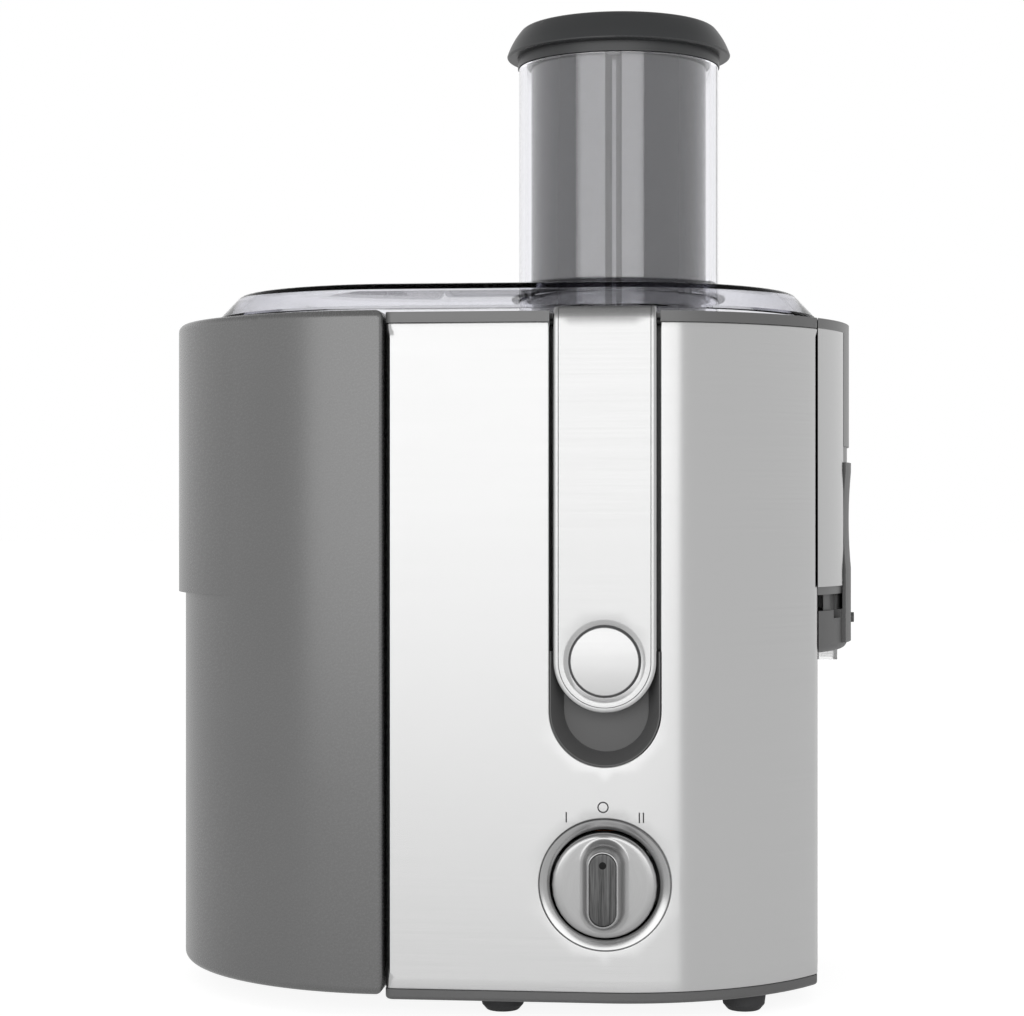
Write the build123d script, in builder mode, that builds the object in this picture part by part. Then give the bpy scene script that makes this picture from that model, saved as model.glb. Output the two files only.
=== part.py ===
"""Centrifugal juicer, every piece in millimetres, +Z up, front towards -Y.

Each piece is laid out from the drive axis, which is the middle of the round
right-hand end. The frame's origin is on the ground under the middle of the
whole machine, so all planes below carry the same shift from the drive axis.
"""

import math
import os

from build123d import *

os.makedirs("parts", exist_ok=True)

# Plan of the machine: two round ends of one radius, joined by flat sides
BODY_R = 93.0
END_SPACING = 84.0
SPLIT_SETBACK = 2.0
SPOUT_DEPTH = 14.0
BLOCK_LEFT = END_SPACING - SPLIT_SETBACK
BLOCK_RIGHT = BODY_R - SPOUT_DEPTH
CORNER_R = 3.0
SPLIT_GAP = 1.0

# Heights of the motor block
FOOT_H = 7.0
TRAY_LIP_H = 4.0
PANEL_H = 248.0
COLLAR_H = 4.0
PANEL_Z0 = FOOT_H + TRAY_LIP_H
PANEL_Z1 = PANEL_Z0 + PANEL_H
RIM_Z = PANEL_Z1 + COLLAR_H

# Wall thicknesses and clearances
WALL = 3.0
PANEL_T = 0.8
SLIDE_GAP = 0.3
SEAT_GAP = 0.1
RUN_GAP = 0.05

# Base tray, feet and screws
TRAY_FLOOR = 2.2
TRAY_WALL = 2.4
TRAY_EDGE_R = 1.5
TONGUE_PAST = 66.0
TONGUE_HALF = 35.0
TONGUE_H = 5.0
FOOT_R = 8.5
FOOT_TREAD_R = 6.0
FOOT_STEM_R = 3.0
FOOT_LEFT_X = -40.0
FOOT_SIDE_INSET = 22.0
FOOT_RING_INSET = 12.7
FOOT_RING_ANGLE = 50.6
POST_R = 4.5
POST_H = 24.0
POST_SIDE_INSET = 17.0
POST_ANGLE = 36.0
SCREW_R = 1.4
SCREW_HEAD_R = 3.2
SCREW_HEAD_H = 2.0
VENT_W = 3.0
VENT_COUNT = 7
VENT_PITCH = 9.0
BASE_VENT_HALF = 26.0

# Latch channel in the front, and the latch lever in it
CHANNEL_HALF = 20.5
CHANNEL_Z0 = 94.5
CHANNEL_DEPTH = 13.0
CHANNEL_WALL = 1.8
LATCH_HALF = 18.7
LATCH_Z0 = 114.7
LATCH_SKIN = 1.0
LATCH_PROUD = 1.0
LATCH_DEPTH = 6.0
LATCH_HINGE_DROP = 4.0
HINGE_IN = 5.0
PIN_R = 1.5
CATCH_R = 8.7
CATCH_HALF = 8.5
CATCH_TIP_ANGLE = 35.0
POCKET_WALL = 1.4
TOOTH_H = 6.0
TONGUE_T = 2.0
THUMB_R = 12.7
THUMB_RING_R = 15.3
THUMB_GROOVE = 0.7
THUMB_SLOPE = 68.0
WELL_Z1 = 137.0
WELL_DEPTH = 9.5
WELL_TAPER = 24.0
WELL_EDGE = 0.8
WELL_RIM = 0.5

# Rotary switch dial
DIAL_Z = 51.0
BEZEL_R = 24.2
BEZEL_BORE_R = 20.3
BEZEL_DISH = 1.0
BEZEL_EDGE = 0.5
BEZEL_BACK = 9.0
KNOB_R = 19.4
KNOB_FACE_OUT = 2.4
KNOB_OUT = 12.5
KNOB_BACK = 4.5
GRIP_L = 30.8
GRIP_W = 14.2
GRIP_TAPER = 7.0
GRIP_FOOT_R = 1.8
INLAY_L = 26.6
INLAY_W = 10.0
INLAY_T = 1.0
SWITCH_SHAFT_R = 3.0
SWITCH_SIZE = 28.0
SWITCH_DEPTH = 18.0
SWITCH_PLATE_T = 2.0
SWITCH_STUD_X = 27.0
SWITCH_STUD_R = 3.0
SWITCH_SET_BACK = 9.0

# Safety switch worked by the closed latch
PLUNGER_R = 2.5
PLUNGER_TRAVEL = 3.0
SAFETY_W = 12.0
SAFETY_D = 15.0
SAFETY_H = 10.0
SAFETY_DROP = 7.0

# Deck and motor, hung under the deck
DECK_Z = 150.0
DECK_T = 3.0
DECK_HOLE_R = 18.0
DECK_COLLAR_R = 21.0
DECK_COLLAR_H = 9.0
MOUNT_H = 6.0
MOUNT_R = 7.0
MOUNT_PITCH_R = 50.0
BRACKET_T = 4.0
ARM_W = 16.0
BEARING_R = 11.0
BEARING_H = 7.0
BEARING_LIP = 2.0
SHAFT_R = 4.0
FAN_R = 29.5
FAN_H = 9.0
FAN_BLADES = 9
STATOR_R = 40.0
STATOR_BORE_R = 24.5
STATOR_H = 44.0
COIL_H = 9.0
COIL_GAP = 2.0
AIR_GAP = 0.6
ARMATURE_SLOTS = 12
COMMUTATOR_R = 11.0
COMMUTATOR_H = 11.0
BRUSH_W = 6.0
BRUSH_L = 14.0
HOLDER_W = 10.0
HOLDER_GAP = 2.0
HOLDER_PAST = 1.5
HOLDER_CAP = 2.0
BRACKET_LEG_R = 3.5
BRACKET_LEG_PITCH_R = 34.0

# Control board on the left wall
BOARD_Y = 36.0
BOARD_H = 70.0
BOARD_Z0 = 30.0
BOARD_T = 1.6
STANDOFF_L = 7.0
STANDOFF_R = 3.5
RELAY_W = 14.0
RELAY_H = 18.0
RELAY_D = 9.0
RELAY_Y = -21.0
RELAY_UP = 40.0
CAPACITOR_R = 6.0
CAPACITOR_L = 11.0
CAPACITOR_Y = 8.0
CAPACITOR_UP = 46.0
SINK_W = 20.0
SINK_H = 19.0
SINK_BACK_T = 1.6
SINK_FIN_L = 10.0
SINK_FIN_T = 1.2
SINK_FINS = 3
SINK_PITCH = 6.0
SINK_Y = 20.0
SINK_UP = 5.0
PLUG_BLOCK_W = 20.0
PLUG_BLOCK_H = 10.0
PLUG_BLOCK_D = 8.0
PLUG_BLOCK_Y = -14.0
PLUG_BLOCK_UP = 6.0

# Cord inlet and vents in the rear wall
INLET_FROM_EDGE = 24.0
INLET_Z = 30.0
INLET_R = 6.5
INLET_BORE_R = 3.6
INLET_OUT = 2.0
INLET_FLANGE_R = 9.0
REAR_VENT_H = 46.0
REAR_VENT_Z = 62.0
REAR_VENT_X = -16.5

# Juice bowl
BOWL_INSET = 18.5
BOWL_SIDE_GAP = 7.5
BOWL_T = 2.0
BOWL_FLOOR_Z = 160.0
BOWL_HUB_R = 26.0
BOWL_HUB_H = 14.0
FLANGE_T = 2.4
FLANGE_DROP = 0.4
LEDGE_W = 4.0
LEDGE_T = 2.5
PULP_HALF = 60.0
PULP_LIP_PAST = 13.0
PULP_LIP_T = 2.0
PULP_LIP_DROP = 9.0
SEAL_H = 2.0

# Spout box on the right, with its steel cladding, drip stop and outlet
NOTCH_HALF = 13.0
NECK_H = 22.0
NECK_T = 2.0
NECK_LAP = 7.2
SKIRT_Z = 156.5
CLAD_Z0 = 159.6
CLAD_T = 0.8
CLAD_SEAT = 0.2
CLAD_SPLIT_ANGLE = 15.0
SKIRT_T = 1.4
DUCT_W = 20.0
DUCT_INSET = 5.0
DUCT_T = 1.5
DUCT_Z0 = 141.0
OUTLET_Z0 = 129.5
STOP_Z0 = 134.0
STOP_T = 2.0
STOP_TRAVEL = 6.0
STOP_CORNER_R = 3.0
STOP_TAB_Z1 = 208.0
STOP_TAB_OUT = 0.8
TAB_SIDE_GAP = 0.6
SCOOP_Z0 = 166.0
SCOOP_Z1 = 204.5
SCOOP_DEPTH = 0.9
SLOT_ANGLE = 18.5
SLOT_SPREAD = 3.0
SLOT_Z0 = 147.0
SLOT_DEPTH = 1.0
STUD_R = 2.0
STUD_OUT = 1.2
STUD_Z = 146.0

# Drive coupling and filter basket
COUPLING_R = 13.0
COUPLING_H = 17.0
COUPLING_LIFT = 3.0
COUPLING_LUGS = 6
LUG_W = 4.0
HUB_WALL = 3.0
HUB_PLATE_T = 3.0
FILTER_BASE_R = 46.0
FILTER_RUN = 4.5
FILTER_H = 58.0
FILTER_T = 0.9
FILTER_RIM_W = 4.0
FILTER_RIM_H = 6.0
FILTER_ROWS = 4
FILTER_SLOTS = 24
FILTER_SLOT_W = 2.0
GRATER_T = 1.2
TOOTH_ROWS = 8
TOOTH_PER_ROW = 5
TOOTH_SIZE = 2.4
NUT_R = 9.0
NUT_H = 5.0

# Lid with its feed tube
LID_INSET = 13.5
LID_GAP = 2.3
LID_FLANGE_H = 1.2
LID_H = 10.2
LID_SLOPE = 8.5
LID_EDGE_R = 3.0
LID_CROWN = 1.9
LID_CROWN_RUN = 17.0
LID_T = 2.4
LID_SKIRT_GAP = 1.0
LID_SKIRT_T = 2.0
LID_SKIRT_DROP = 11.0
LID_LANE_INSET = 4.0
TUBE_R = 40.5
TUBE_WALL = 3.0
TUBE_Z1 = 368.4
TUBE_TEETH_GAP = 8.0
TUBE_FLARE_R = 3.0
TUBE_FOOT_T = 0.4
RIB_W = 2.4
RIB_H = 1.4
RIB_DROP = 6.0

# Pusher
PUSHER_GAP = 1.1
PUSHER_T = 2.4
PUSHER_RAISE = 3.0
COLLAR_LAP = 0.5
PUSHER_COLLAR_H = 4.0
CAP_OVERHANG = 4.8
CAP_H = 15.9
CAP_BEAD_R = 0.9
CAP_FLANK_IN = 6.4
CAP_FLANK_BULGE = 0.5
CAP_DOME_H = 4.2
CAP_SHOULDER_R = 4.0
CAP_T = 2.0
CAP_LIP = 2.2
CAP_PLUG = 6.0
RIB_SLOT_GAP = 0.5
RIB_SIDE_GAP = 2.0
RIB_BACK_T = 1.2

# Pulp container
BUCKET_Z0 = 8.4
BUCKET_LIFT = 1.0
BUCKET_T = 2.2
BUCKET_LEDGE = 14.5
BUCKET_EDGE_R = 3.0
BUCKET_CORNER_R = 1.8
GRIP_INSET = 5.0
GRIP_OUT = 3.0
GRIP_Z0 = 156.4
GRIP_EDGE_R = 1.2

# Sizes that follow the body's radius, the spacing of its ends and the tube's radius
TONGUE_REACH = END_SPACING + TONGUE_PAST
BOWL_R = min(BODY_R - BOWL_INSET, BLOCK_LEFT - BOWL_SIDE_GAP)
FILTER_TOP_R = BOWL_R - BOWL_T - FILTER_RIM_W - FILTER_RUN
PULP_LIP_REACH = BLOCK_LEFT + PULP_LIP_PAST
DUCT_X1 = BODY_R - DUCT_INSET
LID_R = BODY_R - LID_INSET
LID_SKIRT_R = BOWL_R - BOWL_T - LID_SKIRT_GAP
TUBE_BORE_R = TUBE_R - TUBE_WALL
PUSHER_R = TUBE_BORE_R - PUSHER_GAP
PUSHER_COLLAR_R = TUBE_R + COLLAR_LAP
CAP_R = TUBE_R + CAP_OVERHANG
RIB_SLOT_HALF = RIB_W / 2 + RIB_SIDE_GAP
GRIP_R = BODY_R - GRIP_INSET
INLET_X = INLET_FROM_EDGE - BLOCK_LEFT
FOOT_LEFT_Y = BODY_R - FOOT_SIDE_INSET
FOOT_RING_R = BODY_R - FOOT_RING_INSET
FOOT_RIGHT_X = FOOT_RING_R * math.cos(math.radians(FOOT_RING_ANGLE))
FOOT_RIGHT_Y = FOOT_RING_R * math.sin(math.radians(FOOT_RING_ANGLE))

# Extents of the whole machine, seen from the drive axis
LEFT_MOST = -(END_SPACING + BODY_R + GRIP_OUT)
RIGHT_MOST = BODY_R + STOP_TAB_OUT + STUD_OUT
FRONT_MOST = -(BODY_R + KNOB_OUT)
REAR_MOST = BODY_R + INLET_OUT
SHIFT_X = -(LEFT_MOST + RIGHT_MOST) / 2
SHIFT_Y = -(FRONT_MOST + REAR_MOST) / 2

# Places that several pieces share
LATCH_HINGE_Y = -(BODY_R - HINGE_IN)
LATCH_HINGE_Z = RIM_Z - LATCH_HINGE_DROP
CHANNEL_Y = -(BODY_R - CHANNEL_DEPTH)
LATCH_FRONT_Y = -(BODY_R + LATCH_PROUD)
LATCH_BACK_Y = LATCH_FRONT_Y + LATCH_DEPTH
TONGUE_FRONT_Y = LATCH_HINGE_Y + CATCH_R * math.cos(math.radians(CATCH_TIP_ANGLE)) + SLIDE_GAP
TONGUE_BACK_Y = TONGUE_FRONT_Y + TONGUE_T
TONGUE_POCKET_Y = TONGUE_BACK_Y + SLIDE_GAP
TOOTH_Z0 = LATCH_HINGE_Z - CATCH_R - SLIDE_GAP - TOOTH_H / 3
TOOTH_FRONT_Y = LATCH_HINGE_Y + HINGE_IN + 0.2
FLANGE_Z1 = RIM_Z - FLANGE_DROP
FLANGE_Z0 = FLANGE_Z1 - FLANGE_T
PULP_LIP_Z = FLANGE_Z0 - PULP_LIP_DROP
MOUNT_Z0 = DECK_Z - MOUNT_H
TOP_BRACKET_Z0 = MOUNT_Z0 - BRACKET_T
FAN_Z1 = TOP_BRACKET_Z0 - BEARING_LIP - 2.0
FAN_Z0 = FAN_Z1 - FAN_H
STATOR_Z1 = FAN_Z0 - COIL_H - COIL_GAP
STATOR_Z0 = STATOR_Z1 - STATOR_H
COMMUTATOR_Z1 = STATOR_Z0 - COIL_H - COIL_GAP
COMMUTATOR_Z0 = COMMUTATOR_Z1 - COMMUTATOR_H
LOW_BRACKET_Z1 = COMMUTATOR_Z0 - 2.0
LOW_BRACKET_Z0 = LOW_BRACKET_Z1 - BRACKET_T
COUPLING_Z0 = DECK_Z + DECK_COLLAR_H + COUPLING_LIFT
COUPLING_Z1 = COUPLING_Z0 + COUPLING_H
HUB_PLATE_Z0 = COUPLING_Z1 + SLIDE_GAP
GRATER_Z0 = HUB_PLATE_Z0 + HUB_PLATE_T
GRATER_Z1 = GRATER_Z0 + GRATER_T
FILTER_Z1 = GRATER_Z0 + FILTER_H
LID_Z0 = RIM_Z + LID_GAP
LID_Z1 = LID_Z0 + LID_H
LID_TOP = LID_Z1 + LID_CROWN
TUBE_Z0 = GRATER_Z1 + TOOTH_SIZE + TUBE_TEETH_GAP
PUSHER_Z0 = TUBE_Z0 + PUSHER_RAISE
CAP_Z0 = TUBE_Z1 + SLIDE_GAP
CAP_Z1 = CAP_Z0 + PUSHER_COLLAR_H + CAP_H
BUCKET_Z1 = RIM_Z + BUCKET_LIFT
BUCKET_X1 = -(BLOCK_LEFT + SPLIT_GAP)
SPOUT_X0 = BLOCK_RIGHT + SLIDE_GAP
CORD_WALL_Y = BODY_R - WALL
SWITCH_FRONT_Y = -(BODY_R - WALL - SWITCH_SET_BACK)

POST_LEFT_X = -(BLOCK_LEFT - WALL - POST_R + 1.0)
POST_LEFT_Y = BODY_R - POST_SIDE_INSET
POST_RING_R = BODY_R - WALL - POST_R + 1.0
POST_RIGHT_X = POST_RING_R * math.cos(math.radians(POST_ANGLE))
POST_RIGHT_Y = POST_RING_R * math.sin(math.radians(POST_ANGLE))
POST_PLACES = [
    (POST_LEFT_X, -POST_LEFT_Y),
    (POST_LEFT_X, POST_LEFT_Y),
    (POST_RIGHT_X, -POST_RIGHT_Y),
    (POST_RIGHT_X, POST_RIGHT_Y),
]
FOOT_PLACES = {
    "foot_front_left": (FOOT_LEFT_X, -FOOT_LEFT_Y),
    "foot_front_right": (FOOT_RIGHT_X, -FOOT_RIGHT_Y),
    "foot_rear_left": (FOOT_LEFT_X, FOOT_LEFT_Y),
    "foot_rear_right": (FOOT_RIGHT_X, FOOT_RIGHT_Y),
}
MOUNT_PLACES = [
    (MOUNT_PITCH_R * math.cos(math.radians(a)), MOUNT_PITCH_R * math.sin(math.radians(a)))
    for a in (45, 135, 225, 315)
]
LEG_PLACES = [
    (BRACKET_LEG_PITCH_R * math.cos(math.radians(a)), BRACKET_LEG_PITCH_R * math.sin(math.radians(a)))
    for a in (45, 135, 225, 315)
]

DRIVE_AXIS = Axis((SHIFT_X, SHIFT_Y, 0), (0, 0, 1))
DIAL_AXIS = Axis((SHIFT_X, SHIFT_Y, DIAL_Z), (0, 1, 0))


def level(z):
    """Level plane at height z, with the drive axis as its middle."""
    return Plane(origin=(SHIFT_X, SHIFT_Y, z), x_dir=(1, 0, 0), z_dir=(0, 0, 1))


def front(y):
    """Upright plane facing the front at distance y behind the drive axis."""
    return Plane(origin=(SHIFT_X, SHIFT_Y + y, 0), x_dir=(1, 0, 0), z_dir=(0, -1, 0))


def side(x):
    """Upright plane facing right at distance x from the drive axis."""
    return Plane(origin=(SHIFT_X + x, SHIFT_Y, 0), x_dir=(0, 1, 0), z_dir=(1, 0, 0))


def at(x, y, z):
    """Place in the frame, given from the drive axis."""
    return Location((SHIFT_X + x, SHIFT_Y + y, z))


def block(x0, x1, y0, y1, z0, z1, mode=Mode.ADD):
    """Box between two corners, given from the drive axis."""
    with Locations(at((x0 + x1) / 2, (y0 + y1) / 2, (z0 + z1) / 2)):
        Box(x1 - x0, y1 - y0, z1 - z0, mode=mode)


def post(x, y, r, z0, z1, mode=Mode.ADD):
    """Upright round bar."""
    with Locations(at(x, y, (z0 + z1) / 2)):
        Cylinder(r, z1 - z0, mode=mode)


def rod_y(x, z, r, y0, y1, mode=Mode.ADD):
    """Round bar lying front to back."""
    with Locations(at(x, (y0 + y1) / 2, z)):
        Cylinder(r, y1 - y0, rotation=(90, 0, 0), mode=mode)


def rod_x(y, z, r, x0, x1, mode=Mode.ADD):
    """Round bar lying left to right."""
    with Locations(at((x0 + x1) / 2, y, z)):
        Cylinder(r, x1 - x0, rotation=(0, 90, 0), mode=mode)


def prism(plan, z0, z1, mode=Mode.ADD):
    """Upright prism on a plan outline."""
    with BuildSketch(level(z0)) as face:
        add(plan)
    extrude(to_extrude=face.sketch, amount=z1 - z0, mode=mode)


def slab(shape, y0, y1, mode=Mode.ADD):
    """Slab with a front outline, from y1 at the back to y0 at the front."""
    with BuildSketch(front(y1)) as face:
        add(shape)
    extrude(to_extrude=face.sketch, amount=y1 - y0, mode=mode)


def turned(points, mode=Mode.ADD):
    """Piece turned about the drive axis from points of radius and height."""
    with BuildSketch(front(0)) as face:
        with BuildLine():
            Polyline(*points, close=True)
        make_face()
    revolve(profiles=face.sketch, axis=DRIVE_AXIS, mode=mode)


def ring(r0, r1, z0, z1, mode=Mode.ADD):
    """Round ring about the drive axis."""
    turned([(r0, z0), (r1, z0), (r1, z1), (r0, z1)], mode)


def block_plan(inset):
    """Plan outline of the motor block, drawn in from the outside by inset."""
    reach = BODY_R - inset
    with BuildSketch() as plan:
        Circle(reach)
        with Locations((-BLOCK_LEFT / 2, 0)):
            Rectangle(BLOCK_LEFT, 2 * reach)
        with Locations(((BLOCK_RIGHT - BLOCK_LEFT) / 2, 0)):
            Rectangle(BLOCK_RIGHT + BLOCK_LEFT - 2 * inset, 2 * reach, mode=Mode.INTERSECT)
        if inset < CORNER_R - 0.5:
            corners = [v for v in plan.vertices() if abs(v.X) > BLOCK_RIGHT - inset - 1.0]
            fillet(corners, CORNER_R - inset)
    return plan.sketch


def panel_plan():
    """Plan of the steel front panel: a thin band with short folded ends."""
    fold = 8.0
    side_y = math.sqrt(BODY_R**2 - BLOCK_RIGHT**2)
    with BuildSketch() as plan:
        add(block_plan(0))
        add(block_plan(PANEL_T), mode=Mode.SUBTRACT)
        with BuildSketch(mode=Mode.PRIVATE) as kept:
            with Locations((0, -BODY_R)):
                Rectangle(3 * BODY_R, 2 * fold)
            with Locations((BODY_R, -BODY_R)):
                Rectangle(2 * BODY_R, 2 * (BODY_R - side_y + fold))
        add(kept.sketch, mode=Mode.INTERSECT)
    return plan.sketch


def bucket_plan(inset):
    """Plan outline of the pulp container, drawn in by inset."""
    reach = BODY_R - inset
    right = BUCKET_X1 - inset
    with BuildSketch() as plan:
        with Locations((-END_SPACING, 0)):
            Circle(reach)
        with Locations((right - BODY_R, 0)):
            Rectangle(2 * BODY_R, 2 * BODY_R, mode=Mode.INTERSECT)
    return plan.sketch


def grip_plan(inset):
    """Plan of the crescent grip on the container's left end, drawn in by inset."""
    middle = END_SPACING + BODY_R + GRIP_OUT - GRIP_R
    with BuildSketch() as plan:
        with Locations((-middle, 0)):
            Circle(GRIP_R - inset)
        with Locations((-middle - GRIP_R, 0)):
            Rectangle(2 * GRIP_R, 2 * BODY_R, mode=Mode.INTERSECT)
    return plan.sketch


def lid_plan(inset):
    """Plan outline of the lid, drawn in by inset."""
    with BuildSketch() as plan:
        with Locations((-END_SPACING / 2, 0)):
            SlotCenterToCenter(END_SPACING, 2 * (LID_R - inset))
    return plan.sketch


def spout_plan(reach, left):
    """Plan of the spout box: the part of the round end right of the side wall."""
    with BuildSketch() as plan:
        Circle(reach)
        with Locations((left + BODY_R, 0)):
            Rectangle(2 * BODY_R, 2 * BODY_R, mode=Mode.INTERSECT)
    return plan.sketch


def sector_plan(reach, angle):
    """Plan of a pie slice that opens to the right, to each side by angle."""
    far = 2 * reach
    half = far * math.tan(math.radians(angle))
    with BuildSketch() as plan:
        with BuildLine():
            Polyline((0, 0), (far, -half), (far, half), close=True)
        make_face()
        Circle(reach, mode=Mode.INTERSECT)
    return plan.sketch


def band_plan(inner, outer, near, far):
    """Plan of bands on the round right end, from near to far degrees on each side."""
    with BuildSketch() as plan:
        add(sector_plan(outer, far))
        if near > 0:
            add(sector_plan(outer + 1.0, near), mode=Mode.SUBTRACT)
        Circle(inner, mode=Mode.SUBTRACT)
    return plan.sketch


def lever_shape(half, bottom, top):
    """Front outline with straight sides and a round lower end."""
    with BuildSketch() as shape:
        with Locations((0, bottom + half)):
            Circle(half)
        with Locations((0, (bottom + half + top) / 2)):
            Rectangle(2 * half, top - bottom - half)
    return shape.sketch


def pill_shape(length, width, z):
    """Upright pill outline about the dial's centre line."""
    with BuildSketch() as shape:
        with Locations((0, z)):
            SlotOverall(length, width, rotation=90)
    return shape.sketch


def star_plan(grow):
    """Plan of the drive coupling's lugs, grown all round by a clearance."""
    with BuildSketch() as plan:
        Circle(COUPLING_R - 3.0 + grow)
        with PolarLocations(0, COUPLING_LUGS):
            with Locations((COUPLING_R / 2, 0)):
                Rectangle(COUPLING_R + 2 * grow, LUG_W + 2 * grow)
    return plan.sketch


# Base tray under the motor block, with the tongue that carries the pulp container
with BuildPart() as base_tray:
    prism(block_plan(0), FOOT_H, PANEL_Z0)
    rim = base_tray.edges().group_by(Axis.Z)[0]
    fillet(rim, TRAY_EDGE_R)
    prism(block_plan(TRAY_WALL), FOOT_H + TRAY_FLOOR, PANEL_Z0, Mode.SUBTRACT)
    block(-TONGUE_REACH, TRAY_WALL - BLOCK_LEFT, -TONGUE_HALF, TONGUE_HALF, FOOT_H, FOOT_H + TONGUE_H)
    block(-BLOCK_LEFT, TRAY_WALL - BLOCK_LEFT, -TONGUE_HALF, TONGUE_HALF, PANEL_Z0, PANEL_Z0 + TONGUE_H,
          Mode.SUBTRACT)
    for x, y in POST_PLACES:
        post(x, y, POST_R + 1.0, FOOT_H + TRAY_FLOOR, PANEL_Z0)
    for x, y in POST_PLACES:
        post(x, y, SCREW_R + 0.2, FOOT_H, PANEL_Z0, Mode.SUBTRACT)
        post(x, y, SCREW_HEAD_R + 0.4, FOOT_H, FOOT_H + SCREW_HEAD_H + 0.4, Mode.SUBTRACT)
    for x, y in FOOT_PLACES.values():
        post(x, y, FOOT_STEM_R + RUN_GAP, FOOT_H, FOOT_H + TRAY_FLOOR, Mode.SUBTRACT)
    for row in range(VENT_COUNT):
        y = (row - (VENT_COUNT - 1) / 2) * VENT_PITCH
        block(-BASE_VENT_HALF, BASE_VENT_HALF, y - VENT_W / 2, y + VENT_W / 2, FOOT_H, FOOT_H + TRAY_FLOOR, Mode.SUBTRACT)
base_tray.part.label = "base_tray"
export_step(base_tray.part, "parts/base_tray.step")

# Four rubber feet, pushed by their stems into the tray
for name, (x, y) in FOOT_PLACES.items():
    with BuildPart() as foot:
        with BuildSketch(front(y)) as face:
            with BuildLine():
                Polyline(
                    (x, 0),
                    (x + FOOT_TREAD_R, 0),
                    (x + FOOT_R - 0.6, 2.2),
                    (x + FOOT_R, FOOT_H),
                    (x + FOOT_STEM_R, FOOT_H),
                    (x + FOOT_STEM_R, FOOT_H + TRAY_FLOOR + 1.0),
                    (x, FOOT_H + TRAY_FLOOR + 1.0),
                    close=True,
                )
            make_face()
        revolve(axis=Axis((SHIFT_X + x, SHIFT_Y + y, 0), (0, 0, 1)))
        tread = foot.edges().filter_by(GeomType.CIRCLE).sort_by(Axis.Z)[0:2]
        fillet(tread, 1.0)
    foot.part.label = name
    export_step(foot.part, f"parts/{name}.step")

# Four screws that hold the tray to the housing
with BuildPart() as tray_screws:
    for x, y in POST_PLACES:
        seat = FOOT_H + SCREW_HEAD_H + 0.4
        post(x, y, SCREW_HEAD_R, seat - SCREW_HEAD_H, seat)
        post(x, y, SCREW_R, seat, PANEL_Z0 + POST_H - 8.0)
        block(x - SCREW_HEAD_R / 2, x + SCREW_HEAD_R / 2, y - 0.4, y + 0.4,
              seat - SCREW_HEAD_H, seat - SCREW_HEAD_H + 0.8, Mode.SUBTRACT)
tray_screws.part.label = "tray_screws"
export_step(tray_screws.part, "parts/tray_screws.step")

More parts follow.
